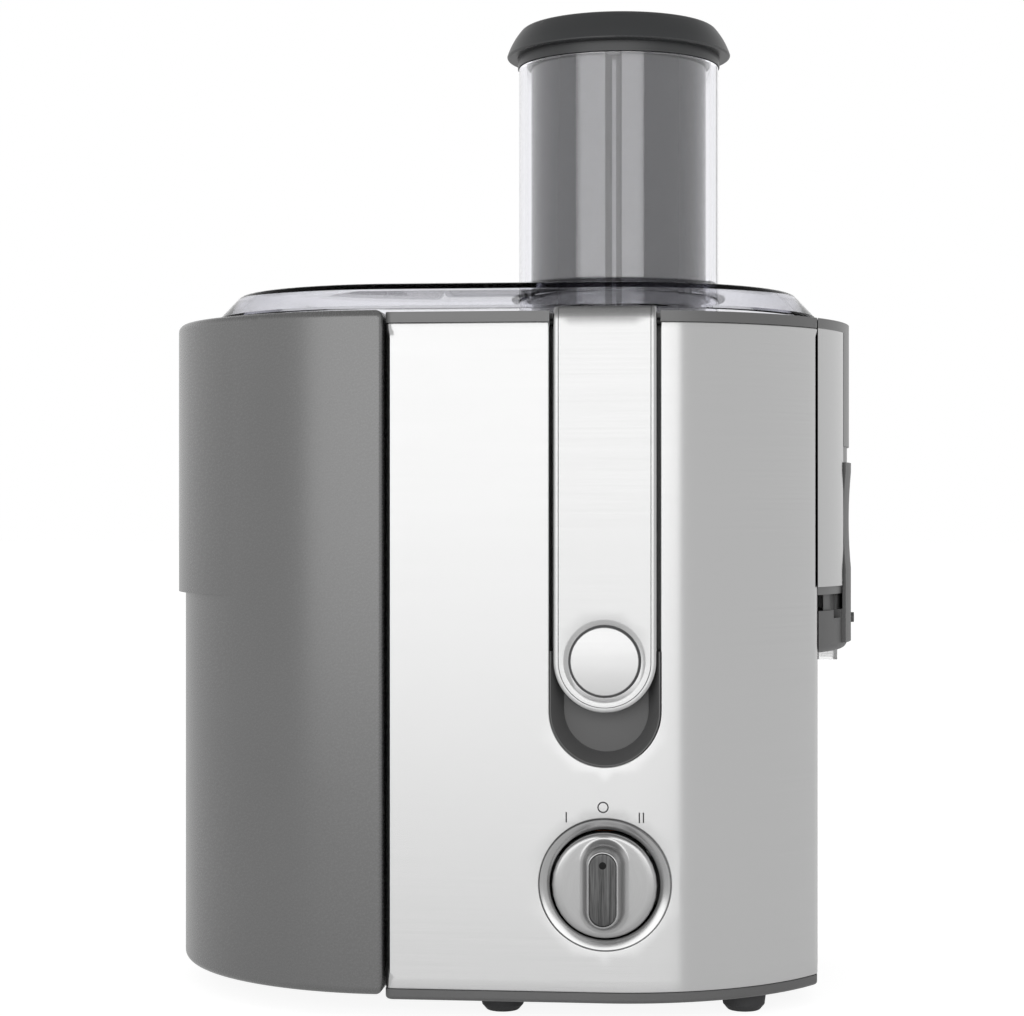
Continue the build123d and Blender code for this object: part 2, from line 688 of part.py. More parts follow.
# Motor housing: outer wall, collar, deck, latch channel and all its bosses
CHANNEL_TOP = RIM_Z + 1.0
with BuildPart() as motor_housing:
    prism(block_plan(0), PANEL_Z0, RIM_Z)
    prism(block_plan(WALL), PANEL_Z0, RIM_Z, Mode.SUBTRACT)
    prism(block_plan(WALL), DECK_Z, DECK_Z + DECK_T)
    prism(block_plan(WALL), FLANGE_Z0 - LEDGE_T, FLANGE_Z0)
    prism(block_plan(WALL + LEDGE_W), FLANGE_Z0 - LEDGE_T, FLANGE_Z0, Mode.SUBTRACT)
    post(0, 0, BOWL_R + SLIDE_GAP, FLANGE_Z0 - LEDGE_T, FLANGE_Z0, Mode.SUBTRACT)
    slab(lever_shape(CHANNEL_HALF + CHANNEL_WALL, CHANNEL_Z0 - CHANNEL_WALL, RIM_Z),
         -(BODY_R - WALL + 0.5), CHANNEL_Y + CHANNEL_WALL)
    block(-CATCH_HALF - 2.5, CATCH_HALF + 2.5, CHANNEL_Y, TONGUE_POCKET_Y + POCKET_WALL, TOOTH_Z0 - 3.0, RIM_Z)
    for x in (-SWITCH_STUD_X, SWITCH_STUD_X):
        rod_y(x, DIAL_Z, SWITCH_STUD_R, -(BODY_R - WALL + 0.5), SWITCH_FRONT_Y)
    prism(block_plan(0), PANEL_Z0, RIM_Z, Mode.INTERSECT)
    prism(panel_plan(), PANEL_Z0, PANEL_Z1, Mode.SUBTRACT)
    slab(lever_shape(CHANNEL_HALF, CHANNEL_Z0, CHANNEL_TOP), -(BODY_R + 1.0), CHANNEL_Y, Mode.SUBTRACT)
    block(-CATCH_HALF - 1.0, CATCH_HALF + 1.0, CHANNEL_Y - 1.0, TONGUE_POCKET_Y, TOOTH_Z0 - 1.2,
          CHANNEL_TOP, Mode.SUBTRACT)
    rod_x(LATCH_HINGE_Y, LATCH_HINGE_Z, PIN_R + RUN_GAP, -CHANNEL_HALF - CHANNEL_WALL - 0.5,
          CHANNEL_HALF + CHANNEL_WALL + 0.5, Mode.SUBTRACT)
    safety_z = DECK_Z - SAFETY_DROP
    rod_y(0, safety_z, PLUNGER_R + RUN_GAP, CHANNEL_Y - 1.0, CHANNEL_Y + CHANNEL_WALL + 1.0, Mode.SUBTRACT)
    rod_y(0, DIAL_Z, BEZEL_R + SEAT_GAP, -(BODY_R + 1.0), -(BODY_R - BEZEL_BACK), Mode.SUBTRACT)
    block(BLOCK_RIGHT - WALL - LEDGE_W - 1.0, BLOCK_RIGHT + 1.0, -NOTCH_HALF, NOTCH_HALF,
          BOWL_FLOOR_Z - 1.0, RIM_Z + 1.0, Mode.SUBTRACT)
    block(-BLOCK_LEFT - 1.0, -BLOCK_LEFT + WALL + LEDGE_W + 1.0, -PULP_HALF - 1.0, PULP_HALF + 1.0,
          PULP_LIP_Z - 0.5, RIM_Z + 1.0, Mode.SUBTRACT)
    ring(DECK_HOLE_R, DECK_COLLAR_R, DECK_Z, DECK_Z + DECK_COLLAR_H)
    post(0, 0, DECK_HOLE_R, DECK_Z - 1.0, DECK_Z + DECK_COLLAR_H + 1.0, Mode.SUBTRACT)
    for x, y in MOUNT_PLACES:
        post(x, y, SCREW_R + 0.2, DECK_Z, DECK_Z + DECK_T, Mode.SUBTRACT)
    for x, y in POST_PLACES:
        post(x, y, POST_R, PANEL_Z0, PANEL_Z0 + POST_H)
    for x, y in POST_PLACES:
        post(x, y, SCREW_R + RUN_GAP, PANEL_Z0, PANEL_Z0 + POST_H - 6.0, Mode.SUBTRACT)
    for y in (-BOARD_Y / 2, BOARD_Y / 2):
        for z in (BOARD_Z0 + 8.0, BOARD_Z0 + BOARD_H - 8.0):
            rod_x(y, z, STANDOFF_R, -BLOCK_LEFT + WALL - 0.5, -BLOCK_LEFT + WALL + STANDOFF_L)
    rod_y(INLET_X, INLET_Z, INLET_R + SEAT_GAP, CORD_WALL_Y - 1.0, BODY_R + 1.0, Mode.SUBTRACT)
    for row in range(VENT_COUNT):
        x = REAR_VENT_X + (row - (VENT_COUNT - 1) / 2) * VENT_PITCH
        block(x - VENT_W / 2, x + VENT_W / 2, CORD_WALL_Y - 1.0, BODY_R + 1.0,
              REAR_VENT_Z, REAR_VENT_Z + REAR_VENT_H, Mode.SUBTRACT)
motor_housing.part.label = "motor_housing"
export_step(motor_housing.part, "parts/motor_housing.step")

# Brushed steel front panel, wrapped round to the right-hand side
with BuildPart() as front_panel:
    prism(panel_plan(), PANEL_Z0, PANEL_Z1)
    slab(lever_shape(CHANNEL_HALF, CHANNEL_Z0, CHANNEL_TOP), -(BODY_R + 1.0), -(BODY_R - 5.0), Mode.SUBTRACT)
    rod_y(0, DIAL_Z, BEZEL_R + SEAT_GAP, -(BODY_R + 1.0), -(BODY_R - BEZEL_BACK), Mode.SUBTRACT)
front_panel.part.label = "front_panel"
export_step(front_panel.part, "parts/front_panel.step")

# Dark finger well behind the lower end of the latch
with BuildPart() as finger_well:
    well_front = -(BODY_R - WELL_EDGE)
    slab(lever_shape(CHANNEL_HALF - SEAT_GAP, CHANNEL_Z0 + SEAT_GAP, WELL_Z1), well_front, CHANNEL_Y)
    with BuildSketch(front(well_front)) as mouth:
        add(lever_shape(CHANNEL_HALF - WELL_RIM, CHANNEL_Z0 + WELL_RIM, WELL_Z1 + 12.0))
    extrude(to_extrude=mouth.sketch, amount=-WELL_DEPTH, taper=WELL_TAPER, mode=Mode.SUBTRACT)
    slab(lever_shape(LATCH_HALF + 0.6, LATCH_Z0 - 0.6, WELL_Z1 + 1.0), well_front - 1.0, LATCH_BACK_Y + 0.6,
         Mode.SUBTRACT)
finger_well.part.label = "finger_well"
export_step(finger_well.part, "parts/finger_well.step")

# Latch pin across the top of the channel
with BuildPart() as latch_pin:
    rod_x(LATCH_HINGE_Y, LATCH_HINGE_Z, PIN_R, -CHANNEL_HALF - CHANNEL_WALL, CHANNEL_HALF + CHANNEL_WALL)
latch_pin.part.label = "latch_pin"
export_step(latch_pin.part, "parts/latch_pin.step")

# Steel skin of the latch lever, rolled over at the top round the pin
NOSE_R = HINGE_IN + LATCH_PROUD
with BuildPart() as latch_skin:
    slab(lever_shape(LATCH_HALF, LATCH_Z0, LATCH_HINGE_Z), LATCH_FRONT_Y, LATCH_BACK_Y - 1.0)
    rod_x(LATCH_HINGE_Y, LATCH_HINGE_Z, NOSE_R, -LATCH_HALF, LATCH_HALF)
    block(-LATCH_HALF - 1.0, LATCH_HALF + 1.0, LATCH_HINGE_Y, LATCH_HINGE_Y + 2 * NOSE_R,
          LATCH_HINGE_Z - 2 * NOSE_R, LATCH_HINGE_Z + 2 * NOSE_R, Mode.SUBTRACT)
    outer = latch_skin.edges().filter_by(
        lambda e: e.center().Y < SHIFT_Y + LATCH_FRONT_Y + 0.01 and e.center().Z < LATCH_HINGE_Z - 1.0
    )
    fillet(outer, 0.9)
    slab(lever_shape(LATCH_HALF - LATCH_SKIN, LATCH_Z0 + LATCH_SKIN, LATCH_HINGE_Z),
         LATCH_FRONT_Y + LATCH_SKIN, LATCH_BACK_Y, Mode.SUBTRACT)
    rod_x(LATCH_HINGE_Y, LATCH_HINGE_Z, NOSE_R - LATCH_SKIN, -LATCH_HALF + LATCH_SKIN,
          LATCH_HALF - LATCH_SKIN, Mode.SUBTRACT)
    rod_x(LATCH_HINGE_Y, LATCH_HINGE_Z, PIN_R + RUN_GAP, -LATCH_HALF - 1.0, LATCH_HALF + 1.0, Mode.SUBTRACT)
    thumb_z = LATCH_Z0 + LATCH_HALF
    with BuildSketch(front(LATCH_FRONT_Y)) as thumb_ring:
        with Locations((0, thumb_z)):
            Circle(THUMB_RING_R)
    extrude(to_extrude=thumb_ring.sketch, amount=-THUMB_GROOVE, taper=THUMB_SLOPE, mode=Mode.SUBTRACT)
    rod_y(0, thumb_z, THUMB_R, LATCH_FRONT_Y - 1.0, LATCH_FRONT_Y + 2.0, Mode.SUBTRACT)
latch_skin.part.label = "latch_skin"
export_step(latch_skin.part, "parts/latch_skin.step")

# Round thumb disc let into the skin
with BuildPart() as thumb_disc:
    rod_y(0, thumb_z, THUMB_R - SEAT_GAP, LATCH_FRONT_Y - 0.2, LATCH_FRONT_Y + LATCH_SKIN)
    fillet(thumb_disc.edges().sort_by(Axis.Y)[0], 0.4)
thumb_disc.part.label = "thumb_disc"
export_step(thumb_disc.part, "parts/thumb_disc.step")

# Plastic frame inside the skin, with the hinge knuckles and the catch cam
with BuildPart() as latch_frame:
    frame_half = LATCH_HALF - LATCH_SKIN - SEAT_GAP
    frame_top = LATCH_HINGE_Z - NOSE_R
    slab(lever_shape(frame_half, LATCH_Z0 + LATCH_SKIN + SEAT_GAP, frame_top),
         LATCH_FRONT_Y + LATCH_SKIN, LATCH_BACK_Y)
    slab(lever_shape(frame_half - 3.0, LATCH_Z0 + LATCH_SKIN + 3.0, frame_top - 12.0),
         LATCH_BACK_Y - 2.6, LATCH_BACK_Y + 1.0, Mode.SUBTRACT)
    block(-4.0, 4.0, LATCH_BACK_Y - 3.0, LATCH_BACK_Y, safety_z - 5.0, safety_z + 5.0)
    rod_x(LATCH_HINGE_Y, LATCH_HINGE_Z, NOSE_R - LATCH_SKIN - SEAT_GAP, -frame_half, frame_half)
    block(-frame_half, frame_half, LATCH_FRONT_Y + LATCH_SKIN, LATCH_HINGE_Y, frame_top - 1.0, LATCH_HINGE_Z)
    with BuildSketch(side(-CATCH_HALF)) as cam:
        with Locations((LATCH_HINGE_Y, LATCH_HINGE_Z)):
            Circle(CATCH_R)
        with BuildSketch(mode=Mode.PRIVATE) as slice_of_cam:
            with BuildLine():
                Polyline(
                    (LATCH_HINGE_Y, LATCH_HINGE_Z),
                    (LATCH_HINGE_Y + 20.0 * math.cos(math.radians(CATCH_TIP_ANGLE)),
                     LATCH_HINGE_Z - 20.0 * math.sin(math.radians(CATCH_TIP_ANGLE))),
                    (LATCH_HINGE_Y, LATCH_HINGE_Z - 30.0),
                    close=True,
                )
            make_face()
        add(slice_of_cam.sketch, mode=Mode.INTERSECT)
    extrude(to_extrude=cam.sketch, amount=2 * CATCH_HALF)
    rod_x(LATCH_HINGE_Y, LATCH_HINGE_Z, PIN_R + RUN_GAP, -LATCH_HALF, LATCH_HALF, Mode.SUBTRACT)
latch_frame.part.label = "latch_frame"
export_step(latch_frame.part, "parts/latch_frame.step")

# Safety switch and the plunger that the closed latch holds in
with BuildPart() as safety_plunger:
    nose_y = LATCH_BACK_Y + SLIDE_GAP
    rod_y(0, safety_z, PLUNGER_R, nose_y, CHANNEL_Y + CHANNEL_WALL + SAFETY_D - 4.0)
    fillet(safety_plunger.edges().sort_by(Axis.Y)[0], 1.0)
safety_plunger.part.label = "safety_plunger"
export_step(safety_plunger.part, "parts/safety_plunger.step")

with BuildPart() as safety_switch:
    switch_y = CHANNEL_Y + CHANNEL_WALL
    block(-SAFETY_W / 2, SAFETY_W / 2, switch_y, switch_y + SAFETY_D,
          safety_z - SAFETY_H / 2, safety_z + SAFETY_H / 2)
    rod_y(0, safety_z, PLUNGER_R + RUN_GAP, switch_y - 1.0, switch_y + SAFETY_D - 3.0, Mode.SUBTRACT)
    for x in (-3.0, 3.0):
        block(x - 0.4, x + 0.4, switch_y + SAFETY_D, switch_y + SAFETY_D + 6.0, safety_z - 2.0, safety_z + 2.0)
safety_switch.part.label = "safety_switch"
export_step(safety_switch.part, "parts/safety_switch.step")

# Dial bezel: a dished ring let through the panel
with BuildPart() as dial_bezel:
    with BuildSketch(side(0)) as face:
        with BuildLine():
            Polyline(
                (-(BODY_R + BEZEL_EDGE - 0.3), DIAL_Z + BEZEL_R),
                (-(BODY_R + BEZEL_EDGE), DIAL_Z + BEZEL_R - 0.3),
                (-(BODY_R - BEZEL_DISH), DIAL_Z + BEZEL_BORE_R),
                (-(BODY_R - BEZEL_BACK), DIAL_Z + BEZEL_BORE_R),
                (-(BODY_R - BEZEL_BACK), DIAL_Z + BEZEL_R),
                close=True,
            )
        make_face()
    revolve(axis=DIAL_AXIS)
dial_bezel.part.label = "dial_bezel"
export_step(dial_bezel.part, "parts/dial_bezel.step")

# Knob: round face with a raised finger grip, its dark inlay and its shaft
KNOB_BACK_Y = -(BODY_R - KNOB_BACK)
KNOB_FACE_Y = -(BODY_R + KNOB_FACE_OUT)
KNOB_FRONT_Y = -(BODY_R + KNOB_OUT)
with BuildPart() as switch_knob:
    rod_y(0, DIAL_Z, KNOB_R, KNOB_FACE_Y, KNOB_BACK_Y)
    fillet(switch_knob.edges().sort_by(Axis.Y)[0], 1.6)
    with BuildSketch(front(KNOB_FACE_Y + 1.0)) as grip:
        add(pill_shape(GRIP_L, GRIP_W, DIAL_Z))
    extrude(to_extrude=grip.sketch, amount=KNOB_OUT - KNOB_FACE_OUT + 1.0, taper=GRIP_TAPER)
    grip_front = switch_knob.faces().sort_by(Axis.Y)[0]
    fillet(grip_front.edges(), 0.6)
    face_y = SHIFT_Y + KNOB_FACE_Y
    foot = switch_knob.edges().filter_by(
        lambda e: abs(e.bounding_box().max.Y - face_y) < 0.01 and abs(e.bounding_box().min.Y - face_y) < 0.01
        and e.bounding_box().size.X < GRIP_W + 1.0
    )
    fillet(foot, GRIP_FOOT_R)
    slab(pill_shape(INLAY_L, INLAY_W, DIAL_Z), KNOB_FRONT_Y - 1.0, KNOB_FRONT_Y + INLAY_T, Mode.SUBTRACT)
    rod_y(0, DIAL_Z, SWITCH_SHAFT_R, KNOB_FACE_Y, KNOB_BACK_Y + 1.0, Mode.SUBTRACT)
switch_knob.part.label = "switch_knob"
export_step(switch_knob.part, "parts/switch_knob.step")

with BuildPart() as knob_inlay:
    slab(pill_shape(INLAY_L - 2 * SEAT_GAP, INLAY_W - 2 * SEAT_GAP, DIAL_Z), KNOB_FRONT_Y,
         KNOB_FRONT_Y + INLAY_T)
knob_inlay.part.label = "knob_inlay"
export_step(knob_inlay.part, "parts/knob_inlay.step")

with BuildPart() as switch_shaft:
    rod_y(0, DIAL_Z, SWITCH_SHAFT_R, KNOB_FACE_Y, SWITCH_FRONT_Y + SWITCH_DEPTH - 3.0)
switch_shaft.part.label = "switch_shaft"
export_step(switch_shaft.part, "parts/switch_shaft.step")

# Rotary switch on two studs behind the panel
with BuildPart() as rotary_switch:
    half = SWITCH_SIZE / 2
    block(-SWITCH_STUD_X - 5.0, SWITCH_STUD_X + 5.0, SWITCH_FRONT_Y, SWITCH_FRONT_Y + SWITCH_PLATE_T,
          DIAL_Z - 9.0, DIAL_Z + 9.0)
    block(-half, half, SWITCH_FRONT_Y, SWITCH_FRONT_Y + SWITCH_DEPTH, DIAL_Z - half, DIAL_Z + half)
    rod_y(0, DIAL_Z, SWITCH_SHAFT_R + RUN_GAP, SWITCH_FRONT_Y - 1.0, SWITCH_FRONT_Y + SWITCH_DEPTH - 2.0,
          Mode.SUBTRACT)
    for x in (-8.0, 0.0, 8.0):
        block(x - 2.0, x + 2.0, SWITCH_FRONT_Y + SWITCH_DEPTH, SWITCH_FRONT_Y + SWITCH_DEPTH + 6.0,
              DIAL_Z - 0.5, DIAL_Z + 0.5)
rotary_switch.part.label = "rotary_switch"
export_step(rotary_switch.part, "parts/rotary_switch.step")

# Control board on stand-offs from the left wall, with its components
BOARD_X = -BLOCK_LEFT + WALL + STANDOFF_L
with BuildPart() as control_board:
    block(BOARD_X, BOARD_X + BOARD_T, -BOARD_Y, BOARD_Y, BOARD_Z0, BOARD_Z0 + BOARD_H)
control_board.part.label = "control_board"
export_step(control_board.part, "parts/control_board.step")

with BuildPart() as board_components:
    face_x = BOARD_X + BOARD_T
    relay_z = BOARD_Z0 + RELAY_UP
    block(face_x, face_x + RELAY_D, RELAY_Y - RELAY_W / 2, RELAY_Y + RELAY_W / 2, relay_z, relay_z + RELAY_H)
    rod_x(CAPACITOR_Y, BOARD_Z0 + CAPACITOR_UP, CAPACITOR_R, face_x, face_x + CAPACITOR_L)
    sink_z = BOARD_Z0 + SINK_UP
    block(face_x, face_x + SINK_BACK_T, SINK_Y - SINK_W / 2, SINK_Y + SINK_W / 2, sink_z, sink_z + SINK_H)
    for fin in range(SINK_FINS):
        z = sink_z + SINK_H / 2 + (fin - (SINK_FINS - 1) / 2) * SINK_PITCH
        block(face_x, face_x + SINK_FIN_L, SINK_Y - SINK_W / 2, SINK_Y + SINK_W / 2,
              z - SINK_FIN_T / 2, z + SINK_FIN_T / 2)
    plug_z = BOARD_Z0 + PLUG_BLOCK_UP
    block(face_x, face_x + PLUG_BLOCK_D, PLUG_BLOCK_Y - PLUG_BLOCK_W / 2, PLUG_BLOCK_Y + PLUG_BLOCK_W / 2,
          plug_z, plug_z + PLUG_BLOCK_H)
board_components.part.label = "board_components"
export_step(board_components.part, "parts/board_components.step")

# Cord inlet bushing in the rear wall
with BuildPart() as cord_inlet:
    rod_y(INLET_X, INLET_Z, INLET_R, CORD_WALL_Y - 4.0, BODY_R + INLET_OUT)
    rod_y(INLET_X, INLET_Z, INLET_FLANGE_R, BODY_R, BODY_R + INLET_OUT)
    rod_y(INLET_X, INLET_Z, INLET_BORE_R, CORD_WALL_Y - 5.0, BODY_R + INLET_OUT + 1.0, Mode.SUBTRACT)
cord_inlet.part.label = "cord_inlet"
export_step(cord_inlet.part, "parts/cord_inlet.step")

# Motor: rubber mounts, brackets, bearings, field and armature
with BuildPart() as motor_mounts:
    for x, y in MOUNT_PLACES:
        post(x, y, MOUNT_R, MOUNT_Z0, DECK_Z)
        post(x, y, SCREW_R + RUN_GAP, MOUNT_Z0, DECK_Z, Mode.SUBTRACT)
motor_mounts.part.label = "motor_mounts"
export_step(motor_mounts.part, "parts/motor_mounts.step")

with BuildPart() as motor_screws:
    for x, y in MOUNT_PLACES:
        post(x, y, SCREW_HEAD_R, DECK_Z + DECK_T, DECK_Z + DECK_T + SCREW_HEAD_H)
        post(x, y, SCREW_R, TOP_BRACKET_Z0 - 2.0, DECK_Z + DECK_T)
motor_screws.part.label = "motor_screws"
export_step(motor_screws.part, "parts/motor_screws.step")

with BuildPart() as top_bracket:
    for turn in (45, 135):
        with Locations(at(0, 0, TOP_BRACKET_Z0 + BRACKET_T / 2)):
            Box(2 * (MOUNT_PITCH_R + MOUNT_R), ARM_W, BRACKET_T, rotation=(0, 0, turn))
    post(0, 0, BEARING_R + 4.0, TOP_BRACKET_Z0 - BEARING_LIP, TOP_BRACKET_Z0 + BEARING_H)
    for x, y in LEG_PLACES:
        post(x, y, BRACKET_LEG_R, STATOR_Z1, TOP_BRACKET_Z0)
    post(0, 0, BEARING_R + 0.02, TOP_BRACKET_Z0, TOP_BRACKET_Z0 + BEARING_H, Mode.SUBTRACT)
    post(0, 0, BEARING_R - 3.0, TOP_BRACKET_Z0 - BEARING_LIP - 1.0, TOP_BRACKET_Z0 + 1.0, Mode.SUBTRACT)
    for x, y in MOUNT_PLACES:
        post(x, y, SCREW_R + RUN_GAP, TOP_BRACKET_Z0, MOUNT_Z0, Mode.SUBTRACT)
top_bracket.part.label = "top_bracket"
export_step(top_bracket.part, "parts/top_bracket.step")

with BuildPart() as low_bracket:
    for turn in (45, 135):
        with Locations(at(0, 0, LOW_BRACKET_Z0 + BRACKET_T / 2)):
            Box(2 * (BRACKET_LEG_PITCH_R + 5.0), ARM_W, BRACKET_T, rotation=(0, 0, turn))
    block(-HOLDER_W / 2, HOLDER_W / 2, -COMMUTATOR_R - BRUSH_L - 2.0, COMMUTATOR_R + BRUSH_L + 2.0,
          LOW_BRACKET_Z0, LOW_BRACKET_Z1)
    post(0, 0, BEARING_R + 4.0, LOW_BRACKET_Z1 - BEARING_H - BEARING_LIP, LOW_BRACKET_Z1)
    for x, y in LEG_PLACES:
        post(x, y, BRACKET_LEG_R, LOW_BRACKET_Z1, STATOR_Z0)
    post(0, 0, BEARING_R + 0.02, LOW_BRACKET_Z1 - BEARING_H, LOW_BRACKET_Z1, Mode.SUBTRACT)
    post(0, 0, BEARING_R - 3.0, LOW_BRACKET_Z1 - BEARING_H - BEARING_LIP - 1.0, LOW_BRACKET_Z1, Mode.SUBTRACT)
low_bracket.part.label = "low_bracket"
export_step(low_bracket.part, "parts/low_bracket.step")

with BuildPart() as bearings:
    for z in (TOP_BRACKET_Z0, LOW_BRACKET_Z1 - BEARING_H):
        ring(SHAFT_R + RUN_GAP, BEARING_R, z, z + BEARING_H)
bearings.part.label = "bearings"
export_step(bearings.part, "parts/bearings.step")

with BuildPart() as stator_core:
    ring(STATOR_BORE_R, STATOR_R, STATOR_Z0, STATOR_Z1)
    for x in (-STATOR_R, STATOR_R):
        block(x - 2.0, x + 2.0, -STATOR_R, STATOR_R, STATOR_Z0, STATOR_Z1, Mode.SUBTRACT)
stator_core.part.label = "stator_core"
export_step(stator_core.part, "parts/stator_core.step")

with BuildPart() as field_coils:
    coil_r = STATOR_BORE_R + 3.0
    for z in (STATOR_Z0 - COIL_H, STATOR_Z1):
        ring(coil_r, coil_r + 8.0, z, z + COIL_H)
        for x, y in LEG_PLACES:
            post(x, y, BRACKET_LEG_R + 2.5, z - 1.0, z + COIL_H + 1.0, Mode.SUBTRACT)
    fillet(field_coils.edges().filter_by(GeomType.CIRCLE).filter_by(
        lambda e: abs(e.radius - coil_r - 8.0) < 0.01), 1.2)
field_coils.part.label = "field_coils"
export_step(field_coils.part, "parts/field_coils.step")

with BuildPart() as brush_holders:
    brush_z = (COMMUTATOR_Z0 + COMMUTATOR_Z1) / 2
    for turn in (-1, 1):
        near = turn * (COMMUTATOR_R + HOLDER_GAP)
        far = turn * (COMMUTATOR_R + BRUSH_L + HOLDER_PAST)
        block(-HOLDER_W / 2, HOLDER_W / 2, min(near, far), max(near, far), LOW_BRACKET_Z1,
              brush_z + BRUSH_W / 2 + HOLDER_CAP)
        bore = BRUSH_W / 2 + SEAT_GAP
        block(-bore, bore, min(near, far) - 1.0, max(near, far) + 1.0, brush_z - bore, brush_z + bore,
              Mode.SUBTRACT)
brush_holders.part.label = "brush_holders"
export_step(brush_holders.part, "parts/brush_holders.step")

with BuildPart() as carbon_brushes:
    for turn in (-1, 1):
        near = turn * (COMMUTATOR_R + SLIDE_GAP)
        far = turn * (COMMUTATOR_R + BRUSH_L)
        block(-BRUSH_W / 2, BRUSH_W / 2, min(near, far), max(near, far), brush_z - BRUSH_W / 2, brush_z + BRUSH_W / 2)
carbon_brushes.part.label = "carbon_brushes"
export_step(carbon_brushes.part, "parts/carbon_brushes.step")

# Rotor: shaft, armature, windings, commutator and fan
with BuildPart() as motor_shaft:
    post(0, 0, SHAFT_R, LOW_BRACKET_Z1 - BEARING_H - BEARING_LIP, COUPLING_Z1 - 4.0)
motor_shaft.part.label = "motor_shaft"
export_step(motor_shaft.part, "parts/motor_shaft.step")

with BuildPart() as armature_core:
    armature_r = STATOR_BORE_R - AIR_GAP
    ring(SHAFT_R, armature_r, STATOR_Z0, STATOR_Z1)
    with BuildSketch(level(STATOR_Z0)):
        with PolarLocations(armature_r - 3.0, ARMATURE_SLOTS):
            Rectangle(7.0, 2.2)
    extrude(amount=STATOR_H, mode=Mode.SUBTRACT)
armature_core.part.label = "armature_core"
export_step(armature_core.part, "parts/armature_core.step")

with BuildPart() as armature_windings:
    for z in (STATOR_Z0 - COIL_H, STATOR_Z1):
        ring(SHAFT_R + 2.0, armature_r - 3.0, z, z + COIL_H)
    fillet(armature_windings.edges().filter_by(GeomType.CIRCLE).filter_by(
        lambda e: e.radius > armature_r - 4.0), 1.5)
armature_windings.part.label = "armature_windings"
export_step(armature_windings.part, "parts/armature_windings.step")

with BuildPart() as commutator:
    ring(SHAFT_R, COMMUTATOR_R, COMMUTATOR_Z0, COMMUTATOR_Z1)
commutator.part.label = "commutator"
export_step(commutator.part, "parts/commutator.step")

with BuildPart() as cooling_fan:
    ring(SHAFT_R, 9.0, FAN_Z0, FAN_Z1)
    ring(8.0, FAN_R, FAN_Z0, FAN_Z0 + 1.4)
    with BuildSketch(level(FAN_Z0)):
        with PolarLocations(FAN_R / 2 + 4.0, FAN_BLADES):
            Rectangle(FAN_R - 9.0, 1.4)
    extrude(amount=FAN_H)
    ring(FAN_R, FAN_R + 6.0, FAN_Z0 - 1.0, FAN_Z1 + 1.0, Mode.SUBTRACT)
cooling_fan.part.label = "cooling_fan"
export_step(cooling_fan.part, "parts/cooling_fan.step")

# Drive coupling on the shaft, above the deck
with BuildPart() as drive_coupling:
    prism(star_plan(0), COUPLING_Z0, COUPLING_Z1)
    post(0, 0, SHAFT_R, COUPLING_Z0 - 1.0, COUPLING_Z1 - 4.0, Mode.SUBTRACT)
drive_coupling.part.label = "drive_coupling"
export_step(drive_coupling.part, "parts/drive_coupling.step")

# Filter basket: hub, grater disc, perforated cone and top rim
with BuildPart() as filter_hub:
    hub_r = COUPLING_R + SLIDE_GAP + HUB_WALL
    ring(0, FILTER_BASE_R, HUB_PLATE_Z0, GRATER_Z0)
    ring(0, hub_r, COUPLING_Z0 + 2.0, GRATER_Z0)
    prism(star_plan(SLIDE_GAP), COUPLING_Z0 + 1.0, HUB_PLATE_Z0, Mode.SUBTRACT)
filter_hub.part.label = "filter_hub"
export_step(filter_hub.part, "parts/filter_hub.step")

with BuildPart() as grater_disc:
    ring(0, FILTER_BASE_R, GRATER_Z0, GRATER_Z1)
    for row in range(TOOTH_ROWS):
        for step in range(TOOTH_PER_ROW):
            turn = math.radians(360 / TOOTH_ROWS * row + 6.0 * step)
            out = NUT_R + 5.0 + step * (FILTER_BASE_R - NUT_R - 9.0) / TOOTH_PER_ROW
            place = at(out * math.cos(turn), out * math.sin(turn), GRATER_Z1)
            with Locations(place * Location((0, 0, 0), (0, 0, math.degrees(turn)))):
                Wedge(TOOTH_SIZE, TOOTH_SIZE, TOOTH_SIZE, 0.4 * TOOTH_SIZE, 0.8 * TOOTH_SIZE,
                      0.6 * TOOTH_SIZE, TOOTH_SIZE, rotation=(90, 0, 0),
                      align=(Align.CENTER, Align.MIN, Align.CENTER))
grater_disc.part.label = "grater_disc"
export_step(grater_disc.part, "parts/grater_disc.step")

with BuildPart() as filter_nut:
    turned([(0, GRATER_Z1), (NUT_R, GRATER_Z1), (NUT_R - 2.0, GRATER_Z1 + NUT_H), (0, GRATER_Z1 + NUT_H)])
filter_nut.part.label = "filter_nut"
export_step(filter_nut.part, "parts/filter_nut.step")

with BuildPart() as filter_cone:
    turned([
        (FILTER_BASE_R, GRATER_Z0),
        (FILTER_BASE_R + FILTER_T, GRATER_Z0),
        (FILTER_TOP_R + FILTER_T, FILTER_Z1),
        (FILTER_TOP_R, FILTER_Z1),
    ])
    slot_h = FILTER_H / FILTER_ROWS * 0.62
    for row in range(FILTER_ROWS):
        z = GRATER_Z0 + FILTER_H * (row + 0.5) / FILTER_ROWS
        with BuildSketch(level(z - slot_h / 2)):
            with PolarLocations(FILTER_TOP_R, FILTER_SLOTS, start_angle=row % 2 * 180 / FILTER_SLOTS):
                Rectangle(2 * (FILTER_TOP_R - FILTER_BASE_R), FILTER_SLOT_W)
        extrude(amount=slot_h, mode=Mode.SUBTRACT)
filter_cone.part.label = "filter_cone"
export_step(filter_cone.part, "parts/filter_cone.step")

with BuildPart() as filter_rim:
    ring(FILTER_TOP_R - 0.4, FILTER_TOP_R + FILTER_RIM_W, FILTER_Z1, FILTER_Z1 + FILTER_RIM_H)
    fillet(filter_rim.edges().group_by(Axis.Z)[-1], 1.0)
filter_rim.part.label = "filter_rim"
export_step(filter_rim.part, "parts/filter_rim.step")

